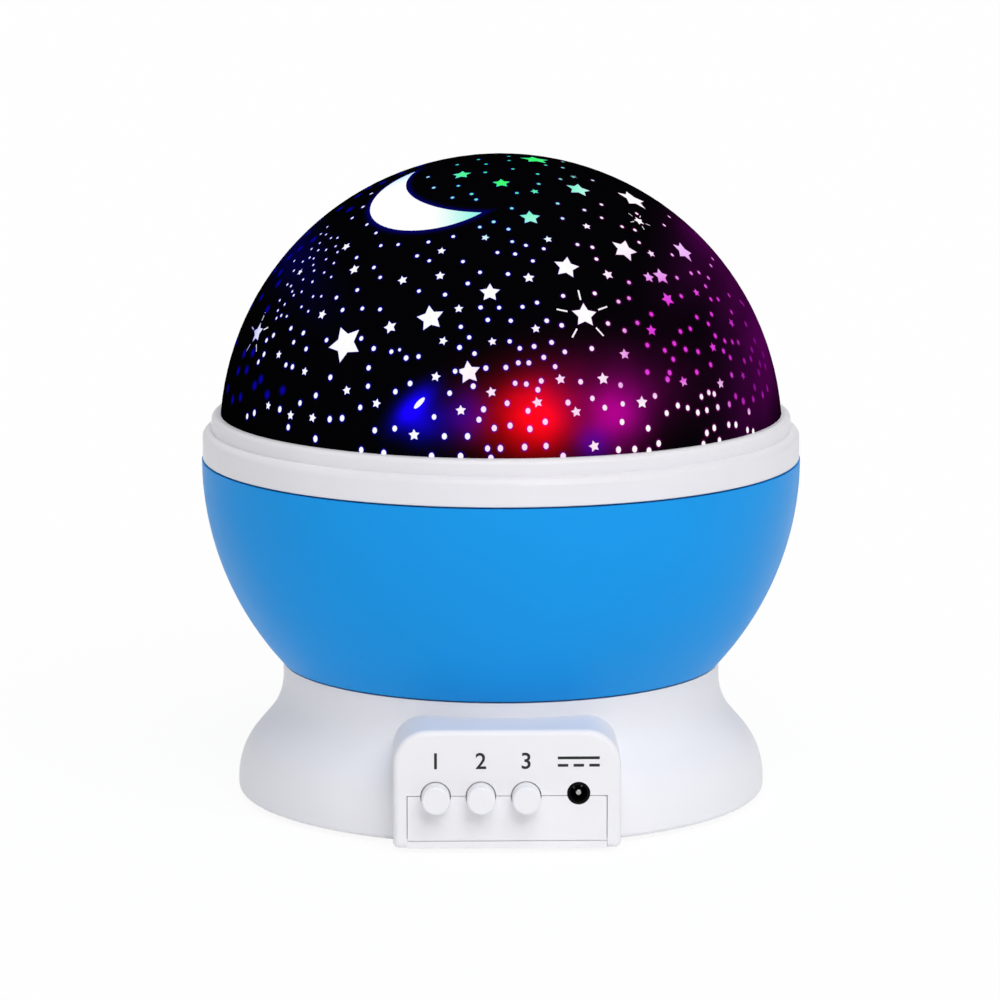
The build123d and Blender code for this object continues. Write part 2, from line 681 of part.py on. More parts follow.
def retaining_clip():
    """Spring clip in the post's groove, open on one side."""
    low = HUB_TOP_Z + SEAM * 1.5
    inner = POST_R - CLIP_DEPTH + SHAFT_FIT
    outer = POST_R + CLIP_PROUD
    ring = tube(outer, inner, low, low + CLIP_T)
    mouth = inner * sin(pi / 4)
    return ring - block(-mouth, mouth, 0, outer, low, low + CLIP_T)


# ---- control panel's inside -------------------------------------------------------------


def control_board():
    board = block(
        -BOARD_HALF_W,
        BOARD_HALF_W,
        -BOARD_FRONT_Y,
        BOARD_T - BOARD_FRONT_Y,
        BOARD_LOW_Z,
        BOARD_HIGH_Z,
    )
    back = BOARD_T - BOARD_FRONT_Y
    for left, right, low, high, thickness in (CHIP, HEADER):
        board += block(left, right, back, back + thickness, low, high)
    for x in (-BOARD_SCREW_X, BOARD_SCREW_X):
        board -= rod_to_front(
            SCREW_R + PILOT, -back, BOARD_FRONT_Y, x, BOARD_SCREW_Z
        )
    return board


def board_screws():
    back = BOARD_FRONT_Y - BOARD_T
    screws = []
    for x in (-BOARD_SCREW_X, BOARD_SCREW_X):
        head = rod_to_front(
            SCREW_HEAD_R, back - SCREW_HEAD_T, back, x, BOARD_SCREW_Z
        )
        tip = PANEL_BACK_Y - 2 * DRILL_SPARE
        shank = rod_to_front(SCREW_R, back, tip, x, BOARD_SCREW_Z)
        screws.append(head + shank)
    return group(screws)


def tactile_switches():
    switches = []
    half = SWITCH_SIDE / 2
    for x in BUTTON_X.values():
        low, high = CONTROL_Z - half, CONTROL_Z + half
        case = block(x - half, x + half, -SWITCH_FRONT_Y, -BOARD_FRONT_Y, low, high)
        well = SWITCH_FRONT_Y - PRESS - PLUNGER_PROUD
        case -= rod_to_front(
            PLUNGER_R + SEAM, well, SWITCH_FRONT_Y, x, CONTROL_Z
        )
        switches.append(case)
    return group(switches)


def switch_plunger(x):
    foot = SWITCH_FRONT_Y - PLUNGER_PROUD / 2
    return rod_to_front(PLUNGER_R, foot, PLUNGER_TIP_Y, x, CONTROL_Z)


def button_cap(x):
    front = PANEL_Y + CAP_PROUD
    back = CAP_FLANGE_Y - CAP_FLANGE_T
    cap = rod_to_front(CAP_R, back, front, x, CONTROL_Z)
    cap = fillet(cap.faces().sort_by(Axis.Y)[0].edges(), CAP_EDGE)
    cap += rod_to_front(CAP_FLANGE_R, back, CAP_FLANGE_Y, x, CONTROL_Z)
    return cap + rod_to_front(CAP_STEM_R, PLUNGER_TIP_Y, back, x, CONTROL_Z)


def dc_inlet():
    back = PANEL_BACK_Y - SEAM
    body = block(
        INLET_X - INLET_BODY_W / 2,
        INLET_X + INLET_BODY_W / 2,
        -back,
        -BOARD_FRONT_Y,
        INLET_Z - INLET_BODY_H / 2,
        INLET_Z + INLET_BODY_H / 2,
    )
    nose = PANEL_Y - INLET_SET_BACK
    body += rod_to_front(INLET_NOSE_R, back, nose, INLET_X, INLET_Z)
    body -= rod_to_front(INLET_BORE_R, INLET_FLOOR_Y, PANEL_Y, INLET_X, INLET_Z)
    return body - pin_root()


def pin_root():
    root = INLET_FLOOR_Y - PIN_ROOT_L
    return rod_to_front(PIN_ROOT_R, root, INLET_FLOOR_Y, INLET_X, INLET_Z)


def dc_inlet_pin():
    tip = PANEL_Y - PIN_SET_BACK
    pin = rod_to_front(INLET_PIN_R, INLET_FLOOR_Y, tip, INLET_X, INLET_Z)
    pin = fillet(pin.faces().sort_by(Axis.Y)[0].edges(), PIN_EDGE)
    return pin + pin_root()


# ---- drive ------------------------------------------------------------------------------


def flank_angle(pitch_radius, half_at_pitch, radius):
    """Half-angle of an involute tooth at a radius."""

    def involute(angle):
        return tan(angle) - angle

    base = pitch_radius * cos(PRESSURE_ANGLE)
    here = acos(base / radius) if radius > base else 0.0
    return half_at_pitch + involute(PRESSURE_ANGLE) - involute(here)


def gear_outline(teeth, half_at_pitch, radii):
    """Closed outline of a gear whose flanks pass through the given radii, root first."""
    pitch_radius = MODULE * teeth / 2
    angles = [flank_angle(pitch_radius, half_at_pitch, r) for r in radii]
    points = []
    for tooth in range(teeth):
        middle = -pi / 2 + tooth * 2 * pi / teeth
        for radius, angle in zip(radii, angles):
            points.append((radius, middle - angle))
        for radius, angle in reversed(list(zip(radii, angles))):
            points.append((radius, middle + angle))
    return Polyline(*[(r * cos(a), r * sin(a)) for r, a in points], close=True)


def drive_pinion():
    half = pi / (2 * PINION_TEETH) - BACKLASH / (4 * PINION_R)
    root, tip = PINION_R - 1.2 * MODULE, PINION_R + 0.9 * MODULE
    radii = (root, PINION_R - 0.35 * MODULE, PINION_R + 0.25 * MODULE, tip)
    outline = gear_outline(PINION_TEETH, half, radii)
    gear = extrude(Plane.XY.offset(GEAR_LOW_Z) * make_face(outline), GEAR_H)
    gear -= d_shaft(GEAR_LOW_Z, GEAR_LOW_Z + GEAR_H, SHAFT_FIT)
    return Pos(0, -PINION_Y, 0) * gear


def d_shaft(low, high, gap=0.0):
    """Shaft with one flat, round the origin."""
    radius = MOTOR_SHAFT_R + gap
    flat = MOTOR_SHAFT_R * 0.7 + gap
    return disc(radius, low, high) - block(flat, 2 * radius, -radius, radius, low, high)


def motor_shaft():
    shaft = disc(MOTOR_SHAFT_R, LEDGE_TOP_Z - MOTOR_H / 2, DECK_Z)
    shaft += d_shaft(DECK_Z, GEAR_LOW_Z + GEAR_H)
    return Pos(0, -PINION_Y, 0) * shaft


def motor_screw_places():
    reach = MOTOR_R + MOTOR_EAR_R
    return (-MOTOR_OFFSET - reach, -MOTOR_OFFSET + reach)


def geared_motor():
    y = -PINION_Y
    low = LEDGE_TOP_Z - MOTOR_H
    can = disc(MOTOR_R, low, LEDGE_TOP_Z, -MOTOR_OFFSET, y)
    can = fillet(can.faces().sort_by(Axis.Z)[0].edges(), MOTOR_EDGE)
    left, right = motor_screw_places()
    ear_low = LEDGE_TOP_Z - MOTOR_EAR_T
    can += block(left, right, y - MOTOR_EAR_R, y + MOTOR_EAR_R, ear_low, LEDGE_TOP_Z)
    for x in (left, right):
        can += disc(MOTOR_EAR_R, ear_low, LEDGE_TOP_Z, x, y)
    for x in (left, right):
        can -= disc(SCREW_R + SHAFT_FIT, ear_low, LEDGE_TOP_Z, x, y)
    can += disc(MOTOR_COLLAR_R, LEDGE_TOP_Z, DECK_Z - SEAM, 0, y)
    width, depth, height = MOTOR_PLUG
    back = y + MOTOR_R + depth / 3
    can += block(
        -MOTOR_OFFSET - width / 2,
        -MOTOR_OFFSET + width / 2,
        back - depth,
        back,
        low + MOTOR_EDGE,
        low + MOTOR_EDGE + height,
    )
    return can - disc(
        MOTOR_SHAFT_R + SHAFT_FIT, low + MOTOR_H / 2 - SEAM, DECK_Z, 0, y
    )


def motor_screws():
    return group(
        screw(x, -PINION_Y, DECK_Z, -1, DECK_T) for x in motor_screw_places()
    )


def ring_gear():
    """Internal gear on the underside of the bowl's floor."""
    half = pi / (2 * RING_TEETH) + BACKLASH / (4 * RING_GEAR_R)
    tip = RING_GEAR_R - 0.6 * MODULE
    outline = gear_outline(RING_TEETH, half, (tip, RING_ROOT_R))
    rim = disc(RING_OUTER_R, GEAR_LOW_Z, FLOOR_Z)
    places = circle_of(TOWER_RING_R, QUARTERS)
    for x, y in places:
        rim += disc(BOSS_R, RING_EAR_LOW_Z, FLOOR_Z, x, y)
    rim -= extrude(
        Plane.XY.offset(GEAR_LOW_Z) * make_face(outline), FLOOR_Z - GEAR_LOW_Z
    )
    for x, y in places:
        rim -= disc(SCREW_R + PILOT, RING_EAR_LOW_Z, FLOOR_Z, x, y)
    return rim


def gear_screws():
    low = RING_EAR_LOW_Z - SCREW_HEAD_T
    length = FLOOR_TOP_Z + GEAR_SCREW_BITE - RING_EAR_LOW_Z
    places = circle_of(TOWER_RING_R, QUARTERS)
    return group(screw(x, y, low, 1, length) for x, y in places)


# ---- bowl -------------------------------------------------------------------------------


def bowl_side(height, inset=0.0):
    """Radius of the bowl's side at a height."""
    arc = BOWL_ARC - inset
    return BOWL_R - BOWL_ARC + sqrt(arc**2 - (BOWL_TOP_Z - height) ** 2)


def side_arc(low, inset=0.0):
    """The bowl's side in section, from a height up to the mouth."""
    middle = (BOWL_R - BOWL_ARC, BOWL_TOP_Z)
    sweep_angle = acos((bowl_side(low, inset) - middle[0]) / (BOWL_ARC - inset))
    return CenterArc(middle, BOWL_ARC - inset, 0, -sweep_angle * 180 / pi)


def bowl_shell():
    spigot_low = BOWL_LOW_Z - SPIGOT_L
    underside = Polyline(
        (bowl_side(FLOOR_TOP_Z, WALL), FLOOR_TOP_Z),
        (HUB_R, FLOOR_TOP_Z),
        (HUB_R, HUB_TOP_Z),
        (SLEEVE_R, HUB_TOP_Z),
        (SLEEVE_R, WASHER_TOP_Z),
        (HUB_R, WASHER_TOP_Z),
        (HUB_R, FLOOR_Z),
        (SPIGOT_R - SPIGOT_WALL, FLOOR_Z),
        (SPIGOT_R - SPIGOT_WALL, spigot_low),
        (SPIGOT_R, spigot_low),
        (SPIGOT_R, BOWL_LOW_Z),
        (bowl_side(BOWL_LOW_Z), BOWL_LOW_Z),
    )
    mouth = Line((BOWL_R, BOWL_TOP_Z), (MOUTH_R, BOWL_TOP_Z))
    bowl = lathe(underside, side_arc(BOWL_LOW_Z), mouth, side_arc(FLOOR_TOP_Z, WALL))
    drill = SCREW_R + PILOT
    gear_tip = FLOOR_TOP_Z + GEAR_SCREW_BITE + DRILL_SPARE
    reflector_tip = REFLECTOR_Z - REFLECTOR_SCREW_BITE - DRILL_SPARE
    for x, y in circle_of(TOWER_RING_R, QUARTERS):
        tower = disc(BOSS_R, FLOOR_TOP_Z, REFLECTOR_Z, x, y)
        bowl += fillet(tower.faces().sort_by(Axis.Z)[-1].edges(), TOWER_EDGE)
        bowl -= disc(drill, FLOOR_Z, gear_tip, x, y)
        bowl -= disc(drill, reflector_tip, REFLECTOR_Z, x, y)
    return bowl + bayonet_lugs()


def ring_sector(outer, inner, low, high, start, angle):
    """Part of a ring between two heights, from a start angle."""
    section = Pos((outer + inner) / 2, (low + high) / 2) * Rectangle(
        outer - inner, high - low
    )
    sector = revolve(Plane.XZ * section, Axis.Z, angle)
    return Rot(0, 0, start) * sector


def lug_turns():
    return [index * 360 / LUG_COUNT for index in range(LUG_COUNT)]


def lug_low():
    return BOWL_TOP_Z - PLUG_L / 2 - LUG_H / 2


def bayonet_lugs():
    """Lugs inside the bowl's mouth that lock the ring."""
    low = lug_low()
    inner = PLUG_R - PLUG_WALL + SEAT_GAP
    return [
        ring_sector(MOUTH_R + SEAM, inner, low, low + LUG_H, turn, LUG_ANGLE)
        for turn in lug_turns()
    ]


def reflector_plate():
    """White shallow dish that hides the drive and throws the light up."""
    edge = bowl_side(REFLECTOR_Z, WALL) - SEAT_GAP
    hole = SLEEVE_R + WALL + REFLECTOR_GAP
    top = REFLECTOR_Z + REFLECTOR_T
    plate = lathe(
        Polyline(
            (hole, REFLECTOR_Z),
            (edge, REFLECTOR_Z),
            (edge, top + REFLECTOR_RIM),
            (edge - REFLECTOR_T, top + REFLECTOR_RIM),
            (edge - 2 * REFLECTOR_T, top),
            (hole, top),
            close=True,
        )
    )
    for x, y in circle_of(TOWER_RING_R, QUARTERS):
        plate -= disc(SCREW_R + PILOT, REFLECTOR_Z, top, x, y)
    return plate


def reflector_screws():
    top = REFLECTOR_Z + REFLECTOR_T + SCREW_HEAD_T
    length = REFLECTOR_T + REFLECTOR_SCREW_BITE
    places = circle_of(TOWER_RING_R, QUARTERS)
    return group(screw(x, y, top, -1, length) for x, y in places)


# ---- lamp -------------------------------------------------------------------------------


def led_screw_places():
    return circle_of(LED_SCREW_R, (LED_TURNS[name] + 45 for name in ("red", "green")))


def led_holder():
    disc_top = HOLDER_Z + HOLDER_T
    holder = disc(HOLDER_R, HOLDER_Z, disc_top)
    holder += disc(SLEEVE_R + WALL, HOLDER_Z - HOLDER_SLEEVE_L, HOLDER_Z)
    holder -= disc(SLEEVE_R, HOLDER_Z - HOLDER_SLEEVE_L, HOLDER_Z)
    holder -= disc(POST_BORE_R - HOLDER_LIP, HOLDER_Z, disc_top)
    tip = HOLDER_Z - LED_SCREW_BITE - DRILL_SPARE
    for x, y in led_screw_places():
        holder += disc(BOSS_R, HOLDER_Z - LED_BOSS_L, HOLDER_Z, x, y)
        holder -= disc(SCREW_R + PILOT, tip, disc_top, x, y)
    return holder


def led_board():
    board = disc(LED_BOARD_R, BOARD_Z, LED_Z)
    cuts = [disc(LED_BOARD_HOLE_R, BOARD_Z, LED_Z)]
    for x, y in led_screw_places():
        cuts.append(disc(SCREW_R + PILOT, BOARD_Z, LED_Z, x, y))
    return board - cuts


def led_screws():
    length = BOARD_T + HOLDER_T + LED_SCREW_BITE
    places = led_screw_places()
    return group(screw(x, y, LED_Z + SCREW_HEAD_T, -1, length) for x, y in places)


def lamp_leads():
    """Wires in a sheath, from the control board up the hollow post to the LED board."""
    left, right, low, high, thickness = HEADER
    x, z = (left + right) / 2, (low + high) / 2
    width, height, length = LEAD_PLUG
    back = BOARD_T - BOARD_FRONT_Y + thickness
    leads = block(
        x - width / 2, x + width / 2, back, back + length, z - height / 2, z + height / 2
    )
    width, depth, height = LAMP_PLUG
    leads += block(
        -width / 2, width / 2, -depth / 2, depth / 2, LED_Z, LED_Z + height
    )
    start_y, end_y = LEAD_RISE_Y
    crossing_z = LEDGE_TOP_Z - LEAD_DROP
    path = FilletPolyline(
        (x, back + length / 2, z),
        (x, -start_y, z),
        (x, -end_y, crossing_z),
        (0, 0, crossing_z),
        (0, 0, LED_Z + height / 2),
        radius=LEAD_BEND_R,
    )
    section = Plane(origin=path @ 0, z_dir=path % 0) * Circle(LEAD_R)
    return leads + sweep(section, path=path)


def led(colour):
    x, y = at_turn(LED_RING_R, LED_TURNS[colour])
    lamp = disc(LED_R, LED_Z, LED_Z + LED_H, x, y)
    lamp += Pos(x, y, LED_Z + LED_H) * Sphere(LED_R)
    return lamp + disc(LED_RIM_R, LED_Z, LED_Z + LED_RIM_H, x, y)


# ---- cover ------------------------------------------------------------------------------


def dome_shell(outer, thickness, low):
    """Half ball with a short straight skirt down to a height."""
    shells = []
    for radius in (outer, outer - thickness):
        ball = Pos(0, 0, DOME_Z) * Sphere(radius)
        ball &= disc(2 * radius, DOME_Z, DOME_Z + 2 * radius)
        shells.append(ball + disc(radius, low, DOME_Z))
    return shells[0] - shells[1]


def star_dome():
    return dome_shell(SHELL_R, DOME_T, SKIRT_LOW_Z)


def facing(turn, tilt):
    """Plane that touches the dome, turned from the front and tilted up."""
    out = Vector(
        sin(radians(turn)) * cos(radians(tilt)),
        -cos(radians(turn)) * cos(radians(tilt)),
        sin(radians(tilt)),
    )
    side = (cos(radians(turn)), sin(radians(turn)), 0)
    return Plane(Vector(0, 0, DOME_Z) + out * DOME_R, x_dir=side, z_dir=out)


def star_face(size, lean):
    points = []
    for index in range(10):
        radius = size if index % 2 == 0 else size * STAR_WAIST
        angle = radians(90 + lean + index * 36)
        points.append((radius * cos(angle), radius * sin(angle)))
    return make_face(Polyline(*points, close=True))


def moon_face():
    x, y = at_turn(MOON_CUT_SHIFT, MOON_CUT_ANGLE)
    return Circle(MOON_R) - Pos(x, y) * Circle(MOON_CUT_R)


def window(plane, face, depth):
    return extrude(plane * face, depth, both=True)


def star_mask():
    """Thin dark skin on the dome, open at the moon and the larger stars."""
    skin = dome_shell(DOME_R, MASK_T, SKIRT_LOW_Z)
    windows = [window(facing(MOON_TURN, MOON_TILT), moon_face(), MOON_DEPTH)]
    for turn, tilt, size, lean in STARS:
        star = star_face(size, lean)
        windows.append(window(facing(turn, tilt), star, STAR_DEPTH))
        if tilt < BACK_LIMIT:
            behind = facing(turn + BACK_TURN, tilt)
            windows.append(window(behind, star, STAR_DEPTH))
    return skin - windows


def dome_ring():
    """Two-step ring that carries the dome and plugs into the bowl's mouth."""
    bore = DOME_R + SHAFT_FIT
    section = FilletPolyline(
        (PLUG_R - PLUG_WALL, BOWL_TOP_Z - PLUG_L),
        (PLUG_R, BOWL_TOP_Z - PLUG_L),
        (PLUG_R, RING_LOW_Z),
        (BAND_R, RING_LOW_Z),
        (BAND_R, BAND_TOP_Z),
        (COLLAR_R, BAND_TOP_Z),
        (COLLAR_R, COLLAR_TOP_Z),
        (bore - DOME_SEAT, COLLAR_TOP_Z),
        (bore - DOME_SEAT, RING_LOW_Z),
        (PLUG_R - PLUG_WALL, RING_LOW_Z - PLUG_WALL / 2),
        radius=(0, 0, 0, BAND_FOOT_EDGE, BAND_EDGE, 0, COLLAR_EDGE, 0, 0, 0),
        close=True,
    )
    ring = lathe(section)
    ball = Pos(0, 0, DOME_Z) * Sphere(bore)
    ring -= disc(bore, SKIRT_LOW_Z, DOME_Z)
    ring -= ball & disc(BAND_R, DOME_Z, 2 * DOME_Z)
    return ring - bayonet_slots()


def bayonet_slots():
    """L-shaped slots in the ring's spigot: an open entry and a branch to turn into."""
    low = lug_low()
    outer, inner = PLUG_R + SEAT_GAP, PLUG_R - PLUG_WALL - SEAT_GAP
    entry = LUG_ANGLE + 2 * LUG_SIDE_GAP
    top = low + LUG_H + SEAT_GAP
    bottom = BOWL_TOP_Z - PLUG_L - SEAT_GAP
    slots = []
    for turn in lug_turns():
        start = turn - LUG_SIDE_GAP
        slots.append(ring_sector(outer, inner, bottom, top, start, entry))
        slots.append(
            ring_sector(outer, inner, low - SEAT_GAP, top, start, entry + LOCK_ANGLE)
        )
    return slots


# ---- write ------------------------------------------------------------------------------


def build():
    """Every piece of the object by its node's name."""
    nodes = {
        "base_shell": base_shell(),
        "bottom_cover": bottom_cover(),
        "rubber_feet": rubber_feet(),
        "base_screws": base_screws(),
        "battery_door": battery_door(),
        "battery_door_screw": door_screw(),
        "battery_springs": battery_springs(),
        "battery_contacts": battery_contacts(),
        "spindle_deck": spindle_deck(),
        "deck_screws": deck_screws(),
        "thrust_washer": thrust_washer(),
        "retaining_clip": retaining_clip(),
        "control_board": control_board(),
        "board_screws": board_screws(),
        "tactile_switches": tactile_switches(),
        "dc_inlet": dc_inlet(),
        "dc_inlet_pin": dc_inlet_pin(),
        "geared_motor": geared_motor(),
        "motor_screws": motor_screws(),
        "motor_shaft": motor_shaft(),
        "drive_pinion": drive_pinion(),
        "ring_gear": ring_gear(),
        "gear_screws": gear_screws(),
        "bowl_shell": bowl_shell(),
        "reflector_plate": reflector_plate(),
        "reflector_screws": reflector_screws(),
        "led_holder": led_holder(),
        "led_board": led_board(),
        "led_screws": led_screws(),
        "lamp_leads": lamp_leads(),
        "star_dome": star_dome(),
        "star_mask": star_mask(),
        "dome_ring": dome_ring(),
    }
    for index in range(CELL_COUNT):
        nodes[f"battery_{index + 1}"] = battery(index)
    for name, x in BUTTON_X.items():
        nodes[f"{name}_button"] = button_cap(x)
        nodes[f"{name}_plunger"] = switch_plunger(x)
    for colour in LED_TURNS:
        nodes[f"led_{colour}"] = led(colour)
    return nodes


os.makedirs("parts", exist_ok=True)
for node, shape in build().items():
    export_step(shape, f"parts/{node}.step")
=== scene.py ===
"""Looks of a star night light projector: finishes for its moulded, metal and electronic
pieces, the lit dots and stars on its dome, the marks on its panel, and the stage."""

import random
from math import acos, asin, cos, pi, radians, sin, sqrt

import bmesh
import bpy
from mathutils import Matrix, Vector


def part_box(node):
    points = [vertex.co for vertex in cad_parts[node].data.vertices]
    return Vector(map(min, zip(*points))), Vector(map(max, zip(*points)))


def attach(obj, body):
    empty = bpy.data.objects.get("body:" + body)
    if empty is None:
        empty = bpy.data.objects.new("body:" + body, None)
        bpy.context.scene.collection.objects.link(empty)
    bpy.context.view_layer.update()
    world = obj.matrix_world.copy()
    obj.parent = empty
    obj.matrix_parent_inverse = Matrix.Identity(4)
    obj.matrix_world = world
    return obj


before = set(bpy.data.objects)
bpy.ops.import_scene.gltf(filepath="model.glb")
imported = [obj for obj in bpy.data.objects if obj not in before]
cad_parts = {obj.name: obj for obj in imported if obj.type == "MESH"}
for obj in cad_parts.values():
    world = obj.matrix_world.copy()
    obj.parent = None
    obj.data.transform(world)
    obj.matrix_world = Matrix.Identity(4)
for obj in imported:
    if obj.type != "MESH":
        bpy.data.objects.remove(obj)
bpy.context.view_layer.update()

bl_info = {
    "name": "Star night light",
    "version": (1, 0, 0),
    "blender": (4, 5, 0),
    "location": "View3D > Sidebar > Star Light",
    "description": "Finishes, dome windows, panel marks and stage of a star night light",
    "category": "Object",
}

MM = 0.001
MASK_LOW, MASK_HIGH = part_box("star_mask")
DOME_R = (MASK_HIGH.x - MASK_LOW.x) / 2
DOME_CENTRE = Vector((0, 0, MASK_HIGH.z - DOME_R))
PANEL_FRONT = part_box("base_shell")[0].y
PRINT = 0.02 * MM  # how far the marks stand proud of the panel
BUTTONS = ("light_button", "colour_button", "spin_button")

# ---- camera

CAMERA_PLACE = Vector((-25.8, -1199.7, 280.4)) * MM
CAMERA_YAW = radians(1.23)
CAMERA_PITCH = radians(10.2)
CAMERA_LENS = 200.95
CAMERA_SENSOR = 36.0
CAMERA_SHIFT = -0.0008
VIEW_WIDTH = 1000  # pixels of the camera's square view

# ---- windows that are cut through the mask

CUT_STARS = (  # turn from the front and tilt in degrees, size in mm, lean in degrees
    (-37.6, 25.9, 4.15, 35),
    (-17.8, 32.5, 2.95, 15),
    (-4.0, 38.4, 2.15, 1),
    (-8.0, 21.6, 2.5, 9),
    (-27.1, 30.1, 1.45, 25),
    (-17.5, 42.0, 1.05, 8),
    (-27.5, 40.5, 1.1, 28),
    (-44.0, 41.9, 1.25, 30),
    (-70.3, 24.5, 2.3, 15),
    (-30.4, 73.7, 2.05, 23),
    (-1.0, 70.3, 1.9, 3),
    (9.6, 57.7, 2.2, -4),
    (40.5, 66.2, 2.7, 34),
    (62.2, 82.3, 3.2, 20),
    (66.3, 60.1, 3.6, 30),
    (16.9, 44.0, 2.75, -17),
    (37.5, 47.2, 3.0, 36),
    (61.6, 44.5, 2.8, 36),
    (40.4, 40.1, 1.3, -20),
    (18.6, 33.0, 2.75, -6),
    (34.7, 28.7, 1.2, -10),
    (20.4, 19.8, 1.3, 0),
    (28.5, 14.6, 1.35, -5),
    (-18.6, 9.0, 1.2, 5),
)
BACK_TURN = 180  # the back repeats the front's openings below the top
BACK_LIMIT = 62
MOON_TURN = -36.0
MOON_TILT = 67.4
MOON_R = 15.3 * MM
BITE_R = 18.9 * MM  # the circle that makes the moon a crescent
BITE_SHIFT = 13.3 * MM
BITE_ANGLE = radians(61.7)
MOON_STEPS = 60  # along each arc of the crescent
MOON_CUTS = 9  # across it

# ---- windows that are printed, by column and row in enlarged cut-outs of the camera's
# view: a cut-out is its left and top pixel and how much it is enlarged

WHOLE_VIEW = (0, 0, 1.0)
LEFT_CUT_OUT = (190, 140, 4.752)
RIGHT_CUT_OUT = (500, 140, 4.752)

LEFT_DOTS = (
    (1270, 118), (1371, 93), (1407, 115), (1403, 154), (1131, 176), (1158, 227),
    (1275, 218), (1247, 274), (1338, 257), (1360, 283), (1443, 389), (1377, 414),
    (1251, 459), (1461, 535), (1133, 485), (1079, 551), (1137, 574),
    (1297, 578), (1378, 629), (1320, 682), (1212, 735), (1088, 718),
    (1381, 796), (1469, 797), (1415, 855), (1287, 888), (1327, 938),
    (1281, 986), (1352, 1015), (1260, 1099), (1406, 1084), (1346, 1170),
    (1234, 1203), (1395, 1280), (1373, 1329), (1446, 1369),
    (1414, 1466), (1286, 1503), (1430, 1512), (862, 255), (822, 318),
    (771, 371), (841, 402), (884, 442), (907, 502), (989, 497), (792, 559),
    (874, 606), (904, 653), (795, 713), (819, 801), (903, 805), (725, 808),
    (696, 749), (649, 951), (814, 943), (873, 991), (957, 1006), (1027, 1036),
    (1086, 1029), (849, 1083), (667, 1128), (846, 1170), (1046, 1157), (976, 1196),
    (598, 1214), (809, 1271), (1160, 1316), (523, 1250), (427, 1280), (467, 1365),
    (664, 1327), (723, 1322), (596, 1420), (878, 1380), (973, 1371), (1209, 1408),
    (1319, 1408), (814, 1473), (921, 1488), (1148, 1502), (306, 1297), (272, 1313),
    (539, 917), (493, 961), (552, 993), (480, 895), (397, 928), (364, 952),
    (352, 1018), (487, 1078), (456, 1069), (325, 1055),
)
RIGHT_DOTS = (
    (42, 78), (43, 98), (61, 138), (179, 162), (184, 209), (217, 120),
    (298, 104), (298, 132), (287, 186), (80, 252), (56, 325), (274, 302),
    (401, 333), (440, 192), (297, 373), (483, 370), (482, 307), (348, 176),
    (580, 412), (641, 428), (661, 487), (650, 350), (804, 365), (780, 405),
    (40, 424), (58, 483), (123, 501), (208, 517), (72, 542), (156, 575),
    (368, 497), (439, 510), (458, 566), (38, 637), (613, 677), (300, 741),
    (450, 729), (176, 773), (107, 793), (563, 768), (613, 752), (51, 859),
    (222, 859), (293, 881), (513, 872), (592, 906), (653, 869), (46, 957),
    (94, 990), (162, 981), (245, 962), (308, 1007), (436, 991), (208, 1033),
    (28, 1081), (87, 1059), (137, 1059), (262, 1077), (196, 1145), (72, 1156),
    (125, 1160), (180, 1187), (383, 1149), (439, 1228), (323, 1248), (573, 1165),
    (498, 1272), (583, 1254), (34, 1251), (133, 1287), (215, 1339), (48, 1357),
    (142, 1373), (580, 1340), (704, 1370), (792, 1298), (736, 1216), (2, 1465),
    (117, 1459), (219, 1454), (563, 1472), (640, 1469), (754, 1442), (300, 1503),
    (708, 1477), (967, 1445), (1043, 1428), (818, 546), (841, 655), (908, 633),
    (945, 630), (990, 655), (977, 695), (1002, 597), (1010, 565), (861, 742),
    (1002, 757), (1036, 757), (1088, 738), (1100, 818), (719, 828), (935, 842),
    (1005, 828), (990, 874), (904, 897), (857, 910), (1023, 931), (700, 975),
    (828, 967), (882, 995), (783, 1000), (941, 1006), (1068, 955), (1104, 960),
    (1132, 962), (1062, 1003), (1094, 1034), (823, 1042), (1001, 1068), (1161, 1050),
    (1192, 1040), (700, 1103), (806, 1106), (935, 1103), (796, 1137), (1101, 1117),
    (957, 1220), (992, 1200), (1018, 1207), (1120, 1218), (1156, 1241), (1090, 1256),
    (1203, 1231), (845, 1262), (892, 1273), (940, 1295), (983, 1284), (1035, 1270),
    (1183, 1290), (1018, 1368), (1087, 1353), (1121, 1353), (983, 1392), (1176, 1378),
    (1203, 1385), (1197, 997), (1210, 1175), (1248, 1210), (1270, 1180), (1145, 770),
    (1155, 780), (1168, 875), (1210, 955), (1250, 1020), (1235, 1065), (1230, 1105),
    (1260, 1075),
)
FINE_DOTS = (  # a crowd of small windows, in the left cut-out
    (653, 413), (622, 447), (647, 449), (670, 466), (701, 465), (617, 490),
    (692, 505), (578, 518), (610, 524), (647, 522), (701, 533), (569, 559),
    (588, 563), (647, 567), (684, 585), (536, 578), (586, 594), (496, 575),
    (494, 621), (590, 621), (638, 630), (538, 663), (671, 651), (582, 674),
    (463, 687), (480, 694), (486, 720), (531, 721), (493, 738), (585, 744),
    (624, 743), (427, 762), (450, 781), (530, 793), (562, 814), (418, 810),
    (434, 834), (460, 838), (411, 847), (996, 997),
)
DIM_DOTS = (  # blurred deep blue windows by the rim, in the left cut-out
    (1092, 125), (1005, 158), (916, 203), (849, 229), (799, 265), (713, 327),
    (760, 330), (618, 380), (560, 443), (587, 474), (523, 516), (473, 556),
    (405, 620), (430, 630), (420, 682), (340, 747), (293, 790), (368, 805),
    (222, 962), (258, 1015), (300, 1010), (230, 1097), (270, 1092), (337, 1137),
    (307, 1167), (180, 1182), (367, 1210), (440, 1190), (203, 1233), (240, 1222),
)
